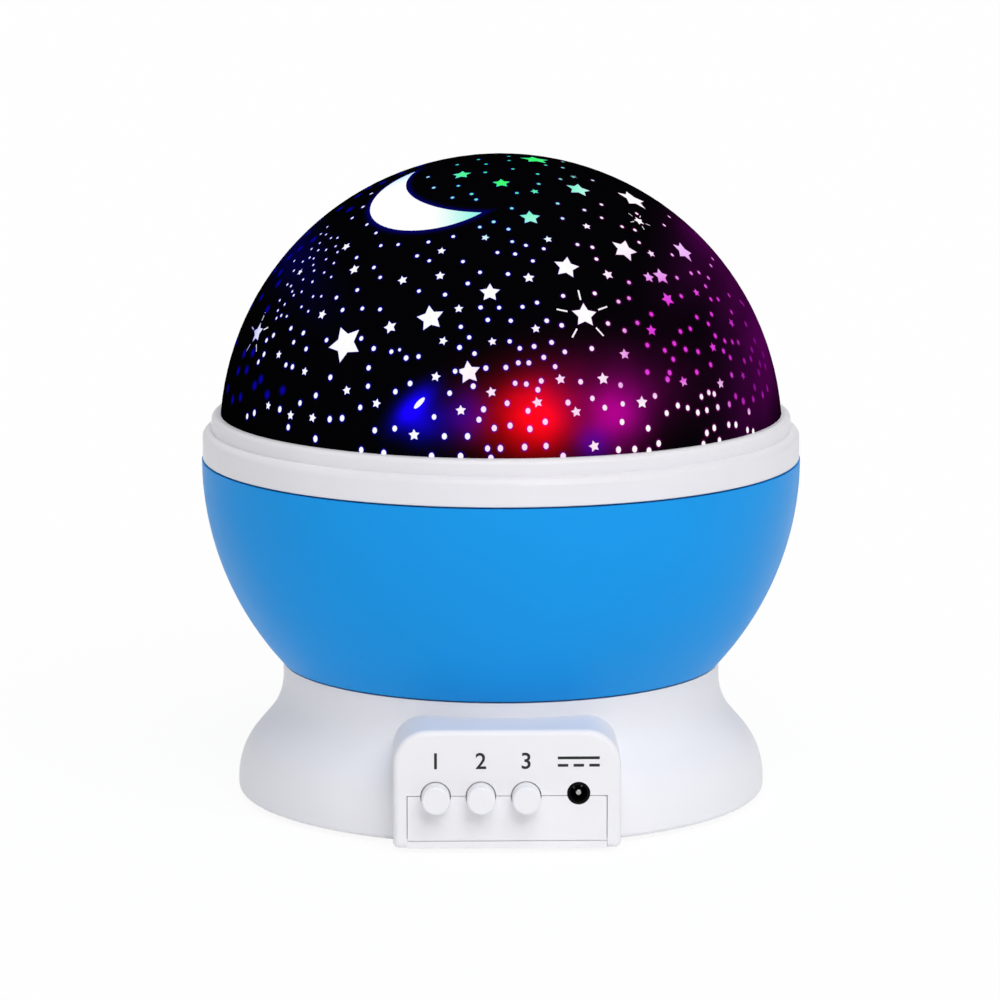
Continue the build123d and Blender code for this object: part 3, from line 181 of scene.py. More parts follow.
LEFT_STARS = (  # column, row, size in mm
    (742, 507, 1.1), (523, 628, 0.8), (628, 830, 1.1), (1277, 802, 0.95),
    (1195, 527, 0.9), (1403, 464, 0.85), (1203, 955, 0.95), (1437, 958, 0.9),
    (1168, 1125, 1.05), (886, 1252, 1.0), (745, 1190, 1.0), (545, 1100, 0.9),
    (422, 1020, 0.9), (372, 1262, 0.9), (478, 1308, 1.0), (582, 1320, 1.0),
    (1287, 1285, 1.1), (1432, 1198, 1.1),
)
RIGHT_STARS = (
    (137, 655, 1.2), (513, 640, 1.2), (228, 472, 0.9), (412, 410, 0.9),
    (165, 245, 0.9), (170, 897, 0.95), (718, 540, 0.95), (933, 725, 0.9),
    (1100, 870, 1.0), (1012, 985, 1.0), (287, 1137, 1.1), (178, 1247, 1.1),
    (362, 1292, 1.1), (448, 1455, 1.2), (592, 1018, 1.15), (872, 1148, 1.1),
    (1048, 1157, 1.1), (1155, 1120, 0.8), (797, 757, 1.6), (765, 648, 2.0),
    (350, 175, 0.8), (660, 385, 1.3),
)
STAR_POINTS = 5
DOT_CORNERS = 12
RAY_REACH = 1.73  # the middle of a ray, its length and its width, in sizes of its star
RAY_LENGTH = 0.84
RAY_WIDTH = 0.13
# painted highlight: the blue lamp's glint, laid on the dome as a lit window
GLINT = (1090, 1250)  # in the left cut-out
GLINT_LEAN = -41
GLINT_RADIUS = 0.5 * MM
GLINT_STRETCH = 3.0
GLINT_CORNERS = 14
DIM_BLUR = 1.8  # fringe of a dim window, in fringe widths, and how brightly it is lit
DIM_LEVEL = 0.82
FOOT_DOT = 1.25  # size of a dot at the dome's foot and how much of it goes by the top
TOP_LOSS = 0.5
DOT_VARIETY = 0.07
DRAWN_OUT = 0.3  # how much longer a dot is at the foot, and how high up that ends
DRAWN_BELOW = 0.6

RAYED_STARS = (  # cut-out, column, row, size in mm, lean of the rays in degrees
    (RIGHT_CUT_OUT, 399, 833, 2.75, 0),
    (LEFT_CUT_OUT, 318, 920, 2.3, 8),
    (RIGHT_CUT_OUT, 660, 385, 1.3, 14),
)

# ---- lamps that show through the mask: column and row in the whole view, half width
# and half height in mm, lean in degrees, strength and colour

GLOWS = (
    (532, 418, 5.8, 5.4, 0, 1.2, "red_glow"),
    (556, 414, 12.0, 7.5, 0, 0.16, "red_glow"),
    (480, 418, 5.0, 5.0, 0, 0.07, "red_glow"),
    (413, 408, 4.2, 1.8, -45, 1.15, "blue_glow"),
    (417, 421, 3.0, 3.0, 0, 0.4, "blue_glow"),
    (436, 420, 5.0, 3.6, 0, 0.22, "blue_glow"),
    (468, 414, 3.0, 3.6, 0, 0.18, "blue_glow"),
    (616, 413, 5.6, 5.4, 0, 0.62, "purple_glow"),
    (594, 442, 3.0, 3.0, 0, 0.25, "blue_glow"),
    (610, 390, 15.0, 7.0, 0, 0.1, "purple_glow"),
    (762, 345, 7.0, 24.0, 20, 0.14, "violet_glow"),
    (704, 235, 7.0, 22.0, 48, 0.13, "violet_glow"),
    (736, 288, 5.0, 8.0, 30, 0.09, "violet_glow"),
    (285, 235, 5.0, 22.0, -40, 0.06, "blue_glow"),
)
GLOW_DEPTH = 26.0 * MM

# ---- light behind the dome

RED_LAMP = Vector((8, -58, 94)) * MM
PINK_NEAR, PINK_FAR = 5 * MM, 24 * MM  # from the red lamp
PINK_SHARE = 0.75
CROWN = Vector((1, -10, 139)) * MM
CROWN_SQUASH = (0.62, 1.0, 1.0)
CROWN_REACH = 40 * MM
CROWN_STOPS = (
    (0.30, "green_light"),
    (0.43, "sea_light"),
    (0.60, "teal_light"),
    (0.75, "pale_light"),
    (0.90, "white_light"),
)
CROWN_END = (0.75, 0.90)
LILAC_UP = (113 * MM, 123 * MM)  # from where a zone's colour starts to where it is full
CLEAR_UP = (117 * MM, 127 * MM)
CLEAR_ACROSS = (40 * MM, 28 * MM)
SIDE_UP = (93 * MM, 99 * MM)
SIDE_ACROSS = (18 * MM, 29 * MM)
EDGE_UP = (87 * MM, 91 * MM)
EDGE_ACROSS = (43 * MM, 49 * MM)
PLUM_UP = (87 * MM, 93 * MM)
PLUM_ACROSS = (43 * MM, 55 * MM)
BLUE_ACROSS = (-48 * MM, -56 * MM)
BLUE_BACK = (-28 * MM, -12 * MM)
CYAN_ACROSS = (-16 * MM, -5 * MM)
ICE_BACK = (-11 * MM, -3 * MM)
FRINGE_GLOW_ACROSS = (0.0, 26 * MM)
MOTTLE_DEPTH = 0.03  # how much darker the light's mottles are
HALO_STRENGTH = 0.14
FRINGE_GLOW_STRENGTH = 0.5

# ---- scattered windows

STAR_TRIES = 260
STAR_GAP = 13 * MM
STAR_CLEARANCE = 3 * MM  # round the stars that are cut through
DOT_CLEARANCE = 1.2 * MM  # round every star
LOWEST_TILT = radians(3.5)
STAR_SEED, DOT_SEED = 7, 21  # of the places
TURN_SEED, SIZE_SEED = 3, 5  # of the stars' leans and of the dots' sizes
STAR_TURN = 16  # greatest lean of a small star, either way, in degrees

# ---- battery cells, along their axis

RIGHT_CELLS = ("battery_1", "battery_3")  # their positive ends are on the right
NIPPLE_L = 1.15 * MM
BAND_L = 13.0 * MM
TAIL_START = 43.95 * MM
BAND_BLUR = 0.1 * MM
END_BLUR = 0.05 * MM

# ---- direct-current sign: a line over three dashes, in mm

SIGN_LINE = 8.8
SIGN_DASH = 2.2
SIGN_PITCH = 3.3
SIGN_RISE = 0.8  # of the line and of the dashes, from the middle
SIGN_WEIGHT = 0.6
FIGURE_SHARE = 0.7  # height of a figure as a share of the font's size

# ---- stage

SUNS = (  # name, strength, spread in degrees, aim
    ("key_sun", 1.82, 50, (-0.24, 0.76, -0.86)),
    ("back_sun", 0.35, 80, (0.15, -0.8, -0.6)),
)
WORLD_STRENGTH = 0.42
FLOOR_SIDE = 60.0
FLOOR_GLOW = 0.92  # share of the floor's own white where it is seen


def colour(name, description, default):
    return bpy.props.FloatVectorProperty(
        name=name,
        description=description,
        default=default,
        subtype="COLOR",
        size=3,
        min=0.0,
        max=1.0,
    )


def length(name, description, default):
    return bpy.props.FloatProperty(
        name=name,
        description=description,
        default=default,
        unit="LENGTH",
        precision=5,
    )


class STARLIGHT_PG_sizes(bpy.types.PropertyGroup):
    """Sizes of what is printed on the dome and on the panel."""

    dot_radius: length("Dot radius", "Radius of a round window halfway up", 0.44 * MM)
    fine_radius: length("Fine dot radius", "Radius of the crowded small windows", 0.29 * MM)
    dim_radius: length("Dim dot radius", "Radius of the blurred windows by the rim", 0.55 * MM)
    dot_gap: length("Dot gap", "Least distance between two scattered windows", 4.2 * MM)
    dot_tries: bpy.props.IntProperty(
        name="Dot tries",
        description="How many places are tried for a scattered window, out of the camera's sight",
        default=1600,
        min=0,
    )
    star_radius: length("Star radius", "Centre to point of a scattered small star", 1.05 * MM)
    star_waist: bpy.props.FloatProperty(
        name="Star waist",
        description="Inner radius of a star as a share of its outer radius",
        default=0.52,
        subtype="FACTOR",
        min=0.2,
        max=0.9,
    )
    fringe_width: length("Fringe width", "Width of the soft edge round a window", 0.5 * MM)
    halo_width: length("Halo width", "How far the moon's blue halo reaches", 0.8 * MM)
    film: length("Film", "How far a window stands proud of the mask", 0.02 * MM)
    mark_height: length("Mark height", "Height of the numbers over the buttons", 3.4 * MM)
    mark_level: length("Mark level", "Height of the marks' middle over the table", 19.6 * MM)
    mark_weight: length("Mark weight", "How much the numbers' strokes are thickened", 0.06 * MM)


class STARLIGHT_PG_colours(bpy.types.PropertyGroup):
    """Colours of the mouldings and of the light."""

    white_shell: colour("White shell", "Moulded white of the base", (0.85, 0.84, 0.865))
    white_ring: colour("White ring", "Moulded white of the ring", (0.80, 0.79, 0.83))
    blue_shell: colour("Blue shell", "Moulded blue of the bowl", (0.008, 0.31, 0.80))
    mask: colour("Mask", "Black coat of the dome", (0.001, 0.001, 0.0015))
    white_light: colour("White light", "Most of the windows", (1.0, 1.0, 1.0))
    green_light: colour("Green light", "Windows at the crown", (0.05, 1.0, 0.17))
    sea_light: colour("Sea light", "Windows round the crown", (0.10, 0.93, 0.38))
    teal_light: colour("Teal light", "Next windows outwards", (0.24, 0.95, 0.65))
    pale_light: colour("Pale light", "Last tinted windows round the crown", (0.58, 0.97, 0.88))
    cyan_light: colour("Cyan light", "Right tip of the moon", (0.30, 0.92, 0.80))
    ice_light: colour("Ice light", "Upper tip of the moon", (0.45, 0.80, 1.0))
    magenta_light: colour("Magenta light", "Windows on the right", (0.76, 0.045, 0.74))
    lilac_light: colour("Lilac light", "High windows on the right", (0.88, 0.50, 1.0))
    plum_light: colour("Plum light", "Windows by the right rim", (0.17, 0.004, 0.24))
    pink_light: colour("Pink light", "Windows near the red lamp", (1.0, 0.60, 0.85))
    blue_light: colour("Blue light", "Windows by the left rim", (0.16, 0.18, 0.95))
    red_glow: colour("Red glow", "Red lamp behind the dome", (1.0, 0.001, 0.004))
    blue_glow: colour("Blue glow", "Blue lamp behind the dome", (0.006, 0.0, 0.92))
    purple_glow: colour("Purple glow", "Purple light behind the dome", (0.48, 0.0, 0.34))
    violet_glow: colour("Violet glow", "Haze by the right rim", (0.44, 0.0, 0.42))
    ink: colour("Ink", "Marks on the panel", (0.004, 0.004, 0.005))


# ---- shader sums ------------------------------------------------------------------------


class Signal:
    """One output of a shader node, which sums as a number does."""

    def __init__(self, finish, socket):
        self.finish = finish
        self.socket = socket

    def maths(self, operation, *terms):
        inputs = dict(enumerate(terms))
        return self.finish.node("ShaderNodeMath", {"operation": operation}, inputs)

    def __add__(self, other):
        return self.maths("ADD", self, other)

    __radd__ = __add__

    def __sub__(self, other):
        return self.maths("SUBTRACT", self, other)

    def __rsub__(self, other):
        return self.maths("SUBTRACT", other, self)

    def __mul__(self, other):
        return self.maths("MULTIPLY", self, other)

    __rmul__ = __mul__

    def __truediv__(self, other):
        return self.maths("DIVIDE", self, other)

    def __pow__(self, other):
        return self.maths("POWER", self, other)

    def most(self, other):
        return self.maths("MAXIMUM", self, other)

    def fade(self):
        """1 where the value is 0, falling smoothly to 0 as it grows past 2."""
        return self.maths("EXPONENT", self * self * -1.0)


class Finish:
    """A material in the making, on Object coordinates."""

    def __init__(self, name):
        self.material = bpy.data.materials.new(name)
        self.material.use_nodes = True
        self.tree = self.material.node_tree
        self.surface = self.tree.nodes["Principled BSDF"]
        self.place = self.node("ShaderNodeTexCoord", output="Object")

    def node(self, kind, settings=None, inputs=None, output=0):
        """Adds a node, sets it, feeds its sockets and returns one output."""
        made = self.tree.nodes.new(kind)
        for name, value in (settings or {}).items():
            if name == "stops":
                self.set_stops(made.color_ramp, value)
            else:
                setattr(made, name, value)
        for key, value in (inputs or {}).items():
            self.feed(made.inputs[key], value)
        return Signal(self, made.outputs[output])

    def set_stops(self, ramp, stops):
        for index, (place, shade) in enumerate(stops):
            stop = ramp.elements[index] if index < 2 else ramp.elements.new(place)
            stop.position = place
            stop.color = (*shade, 1.0)

    def feed(self, socket, value):
        if isinstance(value, Signal):
            self.tree.links.new(value.socket, socket)
        elif hasattr(value, "__len__") and len(socket.default_value) > len(value):
            socket.default_value = (*value, 1.0)
        else:
            socket.default_value = value

    def set(self, **sockets):
        """Feeds the surface: Base_Color=... reaches the socket Base Color."""
        for name, value in sockets.items():
            self.feed(self.surface.inputs[name.replace("_", " ")], value)
        return self

    def split(self):
        return [
            self.node("ShaderNodeSeparateXYZ", inputs={0: self.place}, output=axis)
            for axis in range(3)
        ]

    def noise(self, scale, detail=2.0, roughness=0.5):
        inputs = {
            "Vector": self.place,
            "Scale": scale,
            "Detail": detail,
            "Roughness": roughness,
        }
        return self.node("ShaderNodeTexNoise", inputs=inputs)

    def rise(self, value, start, end, low=0.0, high=1.0):
        """Smooth step from low at start to high at end."""
        inputs = {
            "Value": value,
            "From Min": start,
            "From Max": end,
            "To Min": low,
            "To Max": high,
        }
        settings = {"interpolation_type": "SMOOTHSTEP"}
        return self.node("ShaderNodeMapRange", settings, inputs)

    def mix(self, share, first, second):
        """Colour that goes from the first to the second as share goes from 0 to 1."""
        settings = {"data_type": "RGBA", "clamp_factor": True}
        return self.node("ShaderNodeMix", settings, {0: share, 6: first, 7: second}, 2)

    def add_light(self, light, amount, shade):
        """Light with some more of a shade in it."""
        settings = {"operation": "MULTIPLY_ADD"}
        return self.node("ShaderNodeVectorMath", settings, {0: tuple(shade), 1: amount, 2: light})

    def distance(self, point, place=None):
        settings = {"operation": "DISTANCE"}
        inputs = {0: place or self.place, 1: tuple(point)}
        return self.node("ShaderNodeVectorMath", settings, inputs, "Value")

    def local(self, middle, turn, size):
        """Coordinates in a frame that is turned about a middle and as large as size."""
        inputs = {"Vector": self.place, "Location": middle, "Rotation": turn, "Scale": size}
        return self.node("ShaderNodeMapping", {"vector_type": "TEXTURE"}, inputs)

    def cloud(self, middle, lean, size):
        """1 in the middle, fading out over an ellipsoid that leans in the XZ plane."""
        local = self.local(middle, (0.0, lean, 0.0), size)
        return self.distance((0, 0, 0), local).fade()

    def bump(self, height, strength, depth):
        inputs = {"Strength": strength, "Distance": depth, "Height": height}
        return self.node("ShaderNodeBump", inputs=inputs)


def moulded(name, shade, roughness, specular=0.35):
    """Injection-moulded plastic: faint mottling, a fine-grained skin and soft flow waves."""
    finish = Finish(name)
    grain = finish.noise(5200.0, 1.0)
    waves = finish.noise(38.0, 3.0)
    tone = finish.rise(waves, 0.3, 0.7)
    darker = tuple(channel * 0.975 for channel in shade)
    return finish.set(
        Base_Color=finish.mix(tone, darker, shade),
        Roughness=finish.rise(waves, 0.25, 0.75, roughness * 0.85, roughness * 1.15),
        Normal=finish.bump(grain * 0.3 + waves, 0.12, 0.05 * MM),
        Specular_IOR_Level=specular,
    )


def metal(name, shade, roughness, scale=900.0):
    """Bare or plated metal with fine handling marks."""
    finish = Finish(name)
    marks = finish.noise(scale, 4.0, 0.65)
    worn = tuple(channel * 0.8 for channel in shade)
    return finish.set(
        Base_Color=finish.mix(finish.rise(marks, 0.3, 0.75), worn, shade),
        Metallic=1.0,
        Roughness=finish.rise(marks, 0.3, 0.7, roughness * 0.7, roughness * 1.4),
        Normal=finish.bump(marks, 0.15, 0.02 * MM),
    )


def soft(name, shade, roughness, grain_scale, strength):
    """Rubber or dull plastic with an even, fine texture."""
    finish = Finish(name)
    grain = finish.noise(grain_scale, 3.0)
    return finish.set(
        Base_Color=finish.mix(grain, tuple(channel * 0.7 for channel in shade), shade),
        Roughness=finish.rise(grain, 0.2, 0.8, roughness - 0.06, roughness + 0.06),
        Normal=finish.bump(grain, strength, 0.04 * MM),
    )


# ---- light of the dome ------------------------------------------------------------------


def window_light(finish):
    """Colour of the light behind the dome at each place: white at the front, green and teal
    at the crown, magenta and plum on the right and blue on the left."""
    shades = bpy.context.scene.star_light_colours
    x, y, z = finish.split()
    from_red = finish.distance(RED_LAMP)
    light = finish.mix(
        finish.rise(from_red, PINK_NEAR, PINK_FAR, PINK_SHARE, 0.0),
        shades.white_light,
        shades.pink_light,
    )
    right = finish.mix(finish.rise(z, *LILAC_UP), shades.magenta_light, shades.lilac_light)
    clear = finish.rise(z, *CLEAR_UP) * finish.rise(x, *CLEAR_ACROSS)
    side = finish.rise(x, *SIDE_ACROSS) * finish.rise(z, *SIDE_UP) * (1 - clear)
    side = side.most(finish.rise(x, *EDGE_ACROSS) * finish.rise(z, *EDGE_UP))
    light = finish.mix(side, light, right)
    rim = finish.rise(x, *PLUM_ACROSS) * finish.rise(z, *PLUM_UP)
    light = finish.mix(rim, light, shades.plum_light)
    crown_place = finish.local(CROWN, (0.0, 0.0, 0.0), CROWN_SQUASH)
    crown = finish.distance((0, 0, 0), crown_place) / CROWN_REACH
    stops = [(place, getattr(shades, shade)) for place, shade in CROWN_STOPS]
    crown_light = finish.node("ShaderNodeValToRGB", {"stops": stops}, {0: crown})
    light = finish.mix(finish.rise(crown, *CROWN_END, 1.0, 0.0), light, crown_light)
    left = finish.rise(x, *BLUE_ACROSS) * finish.rise(y, *BLUE_BACK)
    light = finish.mix(left, light, shades.blue_light)
    mottle = finish.rise(finish.noise(900.0, 2.0), 0.3, 0.7)
    return finish.mix(mottle, finish.mix(MOTTLE_DEPTH, light, (0.0, 0.0, 0.0)), light)


def moon_light(finish):
    """White in the moon's belly, teal at its right tip and ice blue at its upper tip."""
    shades = bpy.context.scene.star_light_colours
    x, y = finish.split()[:2]
    light = finish.mix(finish.rise(x, *CYAN_ACROSS), shades.white_light, shades.cyan_light)
    return finish.mix(finish.rise(y, *ICE_BACK), light, shades.ice_light)


def lamp_glow(finish):
    """Coloured lamps that shine faintly through the dark coat."""
    shades = bpy.context.scene.star_light_colours
    ripple = finish.rise(finish.noise(95.0, 2.0), 0.25, 0.75, 0.75, 1.2)
    glow = (0.0, 0.0, 0.0)
    for column, row, wide, high, lean, strength, shade in GLOWS:
        middle = DOME_CENTRE + seen_at(WHOLE_VIEW, column, row) * DOME_R
        size = (wide * MM, GLOW_DEPTH, high * MM)
        amount = finish.cloud(middle, radians(lean), size) * ripple * strength
        glow = finish.add_light(glow, amount, getattr(shades, shade))
    return glow


def moon_halo(finish):
    """1 at the moon's edge, fading out over the halo's width."""
    width = bpy.context.scene.star_light_sizes.halo_width
    moon = seat(outward(MOON_TURN, MOON_TILT))
    flat = finish.local(moon.translation, tuple(moon.to_euler()), (1.0, 1.0, 1000.0))
    beyond = finish.distance((0, 0, 0), flat) - MOON_R
    bitten = BITE_R - finish.distance(bite_middle(), flat)
    return (beyond.most(bitten).most(0.0) / width).fade()


def lit_windows(name, light=window_light):
    """Window of light, with a painted glow in the lamps' colours, its fringe, that fades out
    round it.
    """
    shades = bpy.context.scene.star_light_colours
    finish = Finish(name)
    lit = finish.node("ShaderNodeAttribute", {"attribute_name": "lit"}, output="Fac")
    inside = finish.rise(lit, 0.93, 0.99)
    right = finish.rise(finish.split()[0], *FRINGE_GLOW_ACROSS)
    tint = finish.mix(right, shades.blue_glow, shades.purple_glow)
    # the fringe is painted glow: lamp-coloured light that fades out round each window
    fringe = finish.mix((lit ** 2.0) * FRINGE_GLOW_STRENGTH, lamp_glow(finish), tint)
    return finish.set(
        Base_Color=shades.mask,
        Roughness=0.3,
        Specular_IOR_Level=0.0,
        Emission_Color=finish.mix(inside, fringe, light(finish)),
        Emission_Strength=1.0,
    )


def black_mask(name):
    """Black coat with the coloured lamps glowing faintly through it."""
    shades = bpy.context.scene.star_light_colours
    finish = Finish(name)
    halo = moon_halo(finish) * HALO_STRENGTH
    glow = finish.add_light(lamp_glow(finish), halo, shades.blue_glow)
    smears = finish.noise(120.0, 3.0, 0.6)
    return finish.set(
        Base_Color=shades.mask,
        Roughness=finish.rise(smears, 0.3, 0.7, 0.2, 0.32),
        Specular_IOR_Level=0.0,
        Emission_Color=glow,
        Emission_Strength=1.0,
    )


def milky_dome(name):
    """Translucent inner dome, lit from inside."""
    finish = Finish(name)
    mottle = finish.noise(160.0, 2.0)
    return finish.set(
        Base_Color=finish.mix(mottle, (0.62, 0.66, 0.75), (0.75, 0.78, 0.85)),
        Roughness=0.5,
        Emission_Color=window_light(finish),
        Emission_Strength=1.0,
    )


def lamp(name, shade, strength):
    """Diffused epoxy lamp, brightest at its top."""
    finish = Finish(name)
    low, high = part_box(name)
    height = finish.rise(finish.split()[2], low.z, high.z)
    return finish.set(
        Base_Color=shade,
        Roughness=0.25,
        Emission_Color=finish.mix(height, tuple(channel * 0.4 for channel in shade), shade),
        Emission_Strength=strength,
    )


def circuit_board(name, scale):
    """Green solder resist over copper tracks, with tinned pads."""
    finish = Finish(name)
    brick = finish.node(
        "ShaderNodeTexBrick",
        {"offset": 0.37, "squash": 1.6},
        {
            "Vector": finish.place,
            "Scale": scale,
            "Mortar Size": 0.06,
            "Brick Width": 0.7,
            "Row Height": 0.22,
            "Color1": (0.012, 0.13, 0.045),
            "Color2": (0.016, 0.16, 0.055),
            "Mortar": (0.03, 0.28, 0.10),
        },
    )
    tracks = finish.noise(scale * 9.0, 1.0)
    return finish.set(
        Base_Color=brick,
        Roughness=finish.rise(tracks, 0.3, 0.7, 0.22, 0.4),
        Normal=finish.bump(tracks, 0.2, 0.03 * MM),
    )


def cell_sleeve(name):
    """Dark sleeve with a copper band towards the positive end and bare steel ends."""
    finish = Finish(name)
    low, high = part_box(name)
    x = finish.split()[0]
    from_end = (high.x - x) if name in RIGHT_CELLS else (x - low.x)
    band = finish.rise(from_end, BAND_L - BAND_BLUR, BAND_L + BAND_BLUR, 1.0, 0.0)
    nipple = finish.rise(from_end, NIPPLE_L - END_BLUR, NIPPLE_L + END_BLUR, 1.0, 0.0)
    tail = finish.rise(from_end, TAIL_START - END_BLUR, TAIL_START + END_BLUR)
    bare = nipple.most(tail)
    scuffs = finish.noise(400.0, 4.0)
    sleeve = finish.mix(band, (0.012, 0.013, 0.016), (0.50, 0.20, 0.06))
    return finish.set(
        Base_Color=finish.mix(bare, sleeve, (0.6, 0.6, 0.6)),
        Metallic=finish.rise(bare, 0.0, 1.0, 0.25, 1.0),
        Roughness=finish.rise(scuffs, 0.3, 0.7, 0.2, 0.38),
        Normal=finish.bump(scuffs, 0.06, 0.02 * MM),
    )


# ---- places on the dome -----------------------------------------------------------------


def outward(turn, tilt):
    """Direction out of the dome at a turn from the front and a tilt above the horizon."""
    a, t = radians(turn), radians(tilt)
    return Vector((sin(a) * cos(t), -cos(a) * cos(t), sin(t)))


def camera_axes():
    """Right, up and ahead of the camera."""
    level = cos(CAMERA_PITCH)
    ahead = Vector((sin(CAMERA_YAW) * level, cos(CAMERA_YAW) * level, -sin(CAMERA_PITCH)))
    right = Vector((cos(CAMERA_YAW), -sin(CAMERA_YAW), 0))
    return right, right.cross(ahead), ahead


def seen_at(cut_out, column, row):
    """Direction out of the dome where the camera sees a column and row of a cut-out."""
    left, top, scale = cut_out
    across = left + column / scale - VIEW_WIDTH * (0.5 - CAMERA_SHIFT)
    down = top + row / scale - VIEW_WIDTH / 2
    right, up, ahead = camera_axes()
    focal = VIEW_WIDTH * CAMERA_LENS / CAMERA_SENSOR
    ray = (ahead * focal + right * across - up * down).normalized()
    start = CAMERA_PLACE - DOME_CENTRE
    nearest = start - ray * start.dot(ray)
    depth = sqrt(max(DOME_R**2 - nearest.length_squared, 0.0))
    return (nearest - ray * depth).normalized()


def seat(out, spin=0.0):
    """Frame on the dome at a direction: X to the right, Y up along the dome, Z outwards."""
    right = Vector((-out.y, out.x, 0)).normalized()
    here = Matrix((right, out.cross(right), out)).transposed().to_4x4()
    here.translation = DOME_CENTRE + out * DOME_R
    return here @ Matrix.Rotation(radians(spin), 4, "Z")


def bite_middle():
    """Middle of the circle that makes the moon a crescent, in the moon's own frame."""
    return Vector((cos(BITE_ANGLE), sin(BITE_ANGLE), 0)) * BITE_SHIFT


def cut_places():
    """(direction, size, lean) of every star that is cut through, front and back."""
    places = []
    for turn, tilt, size, lean in CUT_STARS:
        places.append((outward(turn, tilt), size * MM, lean))
        if tilt < BACK_LIMIT:
            places.append((outward(turn + BACK_TURN, tilt), size * MM, lean))
    return places


def is_in_sight(out):
    """Whether the camera sees the dome at that direction."""
    view = CAMERA_PLACE - DOME_CENTRE
    return out.dot(view.normalized()) > DOME_R / view.length


def scattered(tries, gap, seed, taken):
    """Directions out of the camera's sight, at least gap apart and clear of what is taken."""
    chance = random.Random(seed)
    places = []
    for _ in range(tries):
        tilt = asin(chance.uniform(sin(LOWEST_TILT), 1.0))
        turn = chance.uniform(-pi, pi)
        out = Vector((sin(turn) * cos(tilt), -cos(turn) * cos(tilt), sin(tilt)))
        if is_in_sight(out) or any(out.angle(other) < reach for other, reach in taken):
            continue
        if all(out.angle(other) > gap / DOME_R for other in places):
            places.append(out)
    return places


def star_places():
    """(direction, size) of every small printed star."""
    sizes = bpy.context.scene.star_light_sizes
    places = [(seen_at(LEFT_CUT_OUT, *star[:2]), star[2] * MM) for star in LEFT_STARS]
    places += [(seen_at(RIGHT_CUT_OUT, *star[:2]), star[2] * MM) for star in RIGHT_STARS]
    taken = [(out, (size + STAR_CLEARANCE) / DOME_R) for out, size, lean in cut_places()]
    for out in scattered(STAR_TRIES, STAR_GAP, STAR_SEED, taken):
        places.append((out, sizes.star_radius))
    return places


def dot_places():
    """Directions of the ordinary round windows."""
    sizes = bpy.context.scene.star_light_sizes
    places = [seen_at(LEFT_CUT_OUT, *dot) for dot in LEFT_DOTS]
    places += [seen_at(RIGHT_CUT_OUT, *dot) for dot in RIGHT_DOTS]
    stars = [(out, size) for out, size, lean in cut_places()] + star_places()
    taken = [(out, (size + DOT_CLEARANCE) / DOME_R) for out, size in stars]
    return places + scattered(sizes.dot_tries, sizes.dot_gap, DOT_SEED, taken)


# ---- windows ----------------------------------------------------------------------------


def lay_on_dome(bm, corners, place, stretch=1.0):
    """Curves flat corners to the dome along their own axis and sets them in place."""
    skin = DOME_R + bpy.context.scene.star_light_sizes.film
    for corner in corners:
        x, y = corner.co.x, corner.co.y * stretch
        corner.co = (x, y, sqrt(skin**2 - x**2 - y**2) - DOME_R)
    bmesh.ops.transform(bm, matrix=place, verts=corners)


def add_window(bm, lit, place, radius, corners, waist=1.0, stretch=1.0, blur=1.0, level=1.0):
    """Adds a round or starry window, lit to a level, with a fringe of painted glow that fades to
    nothing.
    """
    fringe = bpy.context.scene.star_light_sizes.fringe_width * blur
    ring = bmesh.ops.create_circle(bm, cap_ends=True, radius=radius, segments=corners)["verts"]
    pane = ring[0].link_faces[0]
    for corner in ring[1::2]:
        corner.co *= waist
    made = bmesh.ops.extrude_edge_only(bm, edges=list(pane.edges))["geom"]
    rim = [part for part in made if isinstance(part, bmesh.types.BMVert)]
    reach = (radius + fringe) / radius
    bmesh.ops.scale(bm, vec=(reach, reach, 1), verts=rim)
    middle = bmesh.ops.poke(bm, faces=[pane])["verts"] if waist < 1 else []
    for corner in ring + middle:
        corner[lit] = level
    lay_on_dome(bm, ring + rim + middle, place, stretch)


def add_star(bm, lit, out, size, lean):
    waist = bpy.context.scene.star_light_sizes.star_waist
    add_window(bm, lit, seat(out, lean), size, 2 * STAR_POINTS, waist)


def add_dot(bm, lit, out, radius, chance):
    """Adds a round window: larger and drawn out near the rim, smaller at the crown."""
    height = out.z
    varied = chance.uniform(1 - DOT_VARIETY, 1 + DOT_VARIETY)
    size = radius * (FOOT_DOT - TOP_LOSS * height) * varied
    drawn = 1 + DRAWN_OUT * max(0.0, 1 - height / DRAWN_BELOW)
    add_window(bm, lit, seat(out), size, DOT_CORNERS, stretch=drawn)


def new_windows():
    bm = bmesh.new()
    return bm, bm.verts.layers.float.new("lit")


def coat(finish, *nodes):
    """Gives CAD nodes this finish."""
    for name in nodes:
        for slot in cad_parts[name].material_slots:
            slot.material = finish.material


def new_object(name, data):
    made = bpy.data.objects.new(name, data)
    bpy.context.scene.collection.objects.link(made)
    return made


def new_mesh(name, bm):
    mesh = bpy.data.meshes.new(name)
    bm.to_mesh(mesh)
    bm.free()
    return mesh


def add_piece(name, bm, finish, body):
    """Makes a mesh object that rides on a body."""
    piece = new_object(name, new_mesh(name, bm))
    piece.data.materials.append(finish.material)
    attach(piece, body)


def add_windows(name, bm, finish):
    """Makes a piece of windows on the dome, its faces outwards."""
    bm.normal_update()
    inward = [
        face
        for face in bm.faces
        if face.normal.dot(face.calc_center_median() - DOME_CENTRE) < 0
    ]
    bmesh.ops.reverse_faces(bm, faces=inward)
    add_piece(name, bm, finish, "cover")


# ---- operators --------------------------------------------------------------------------


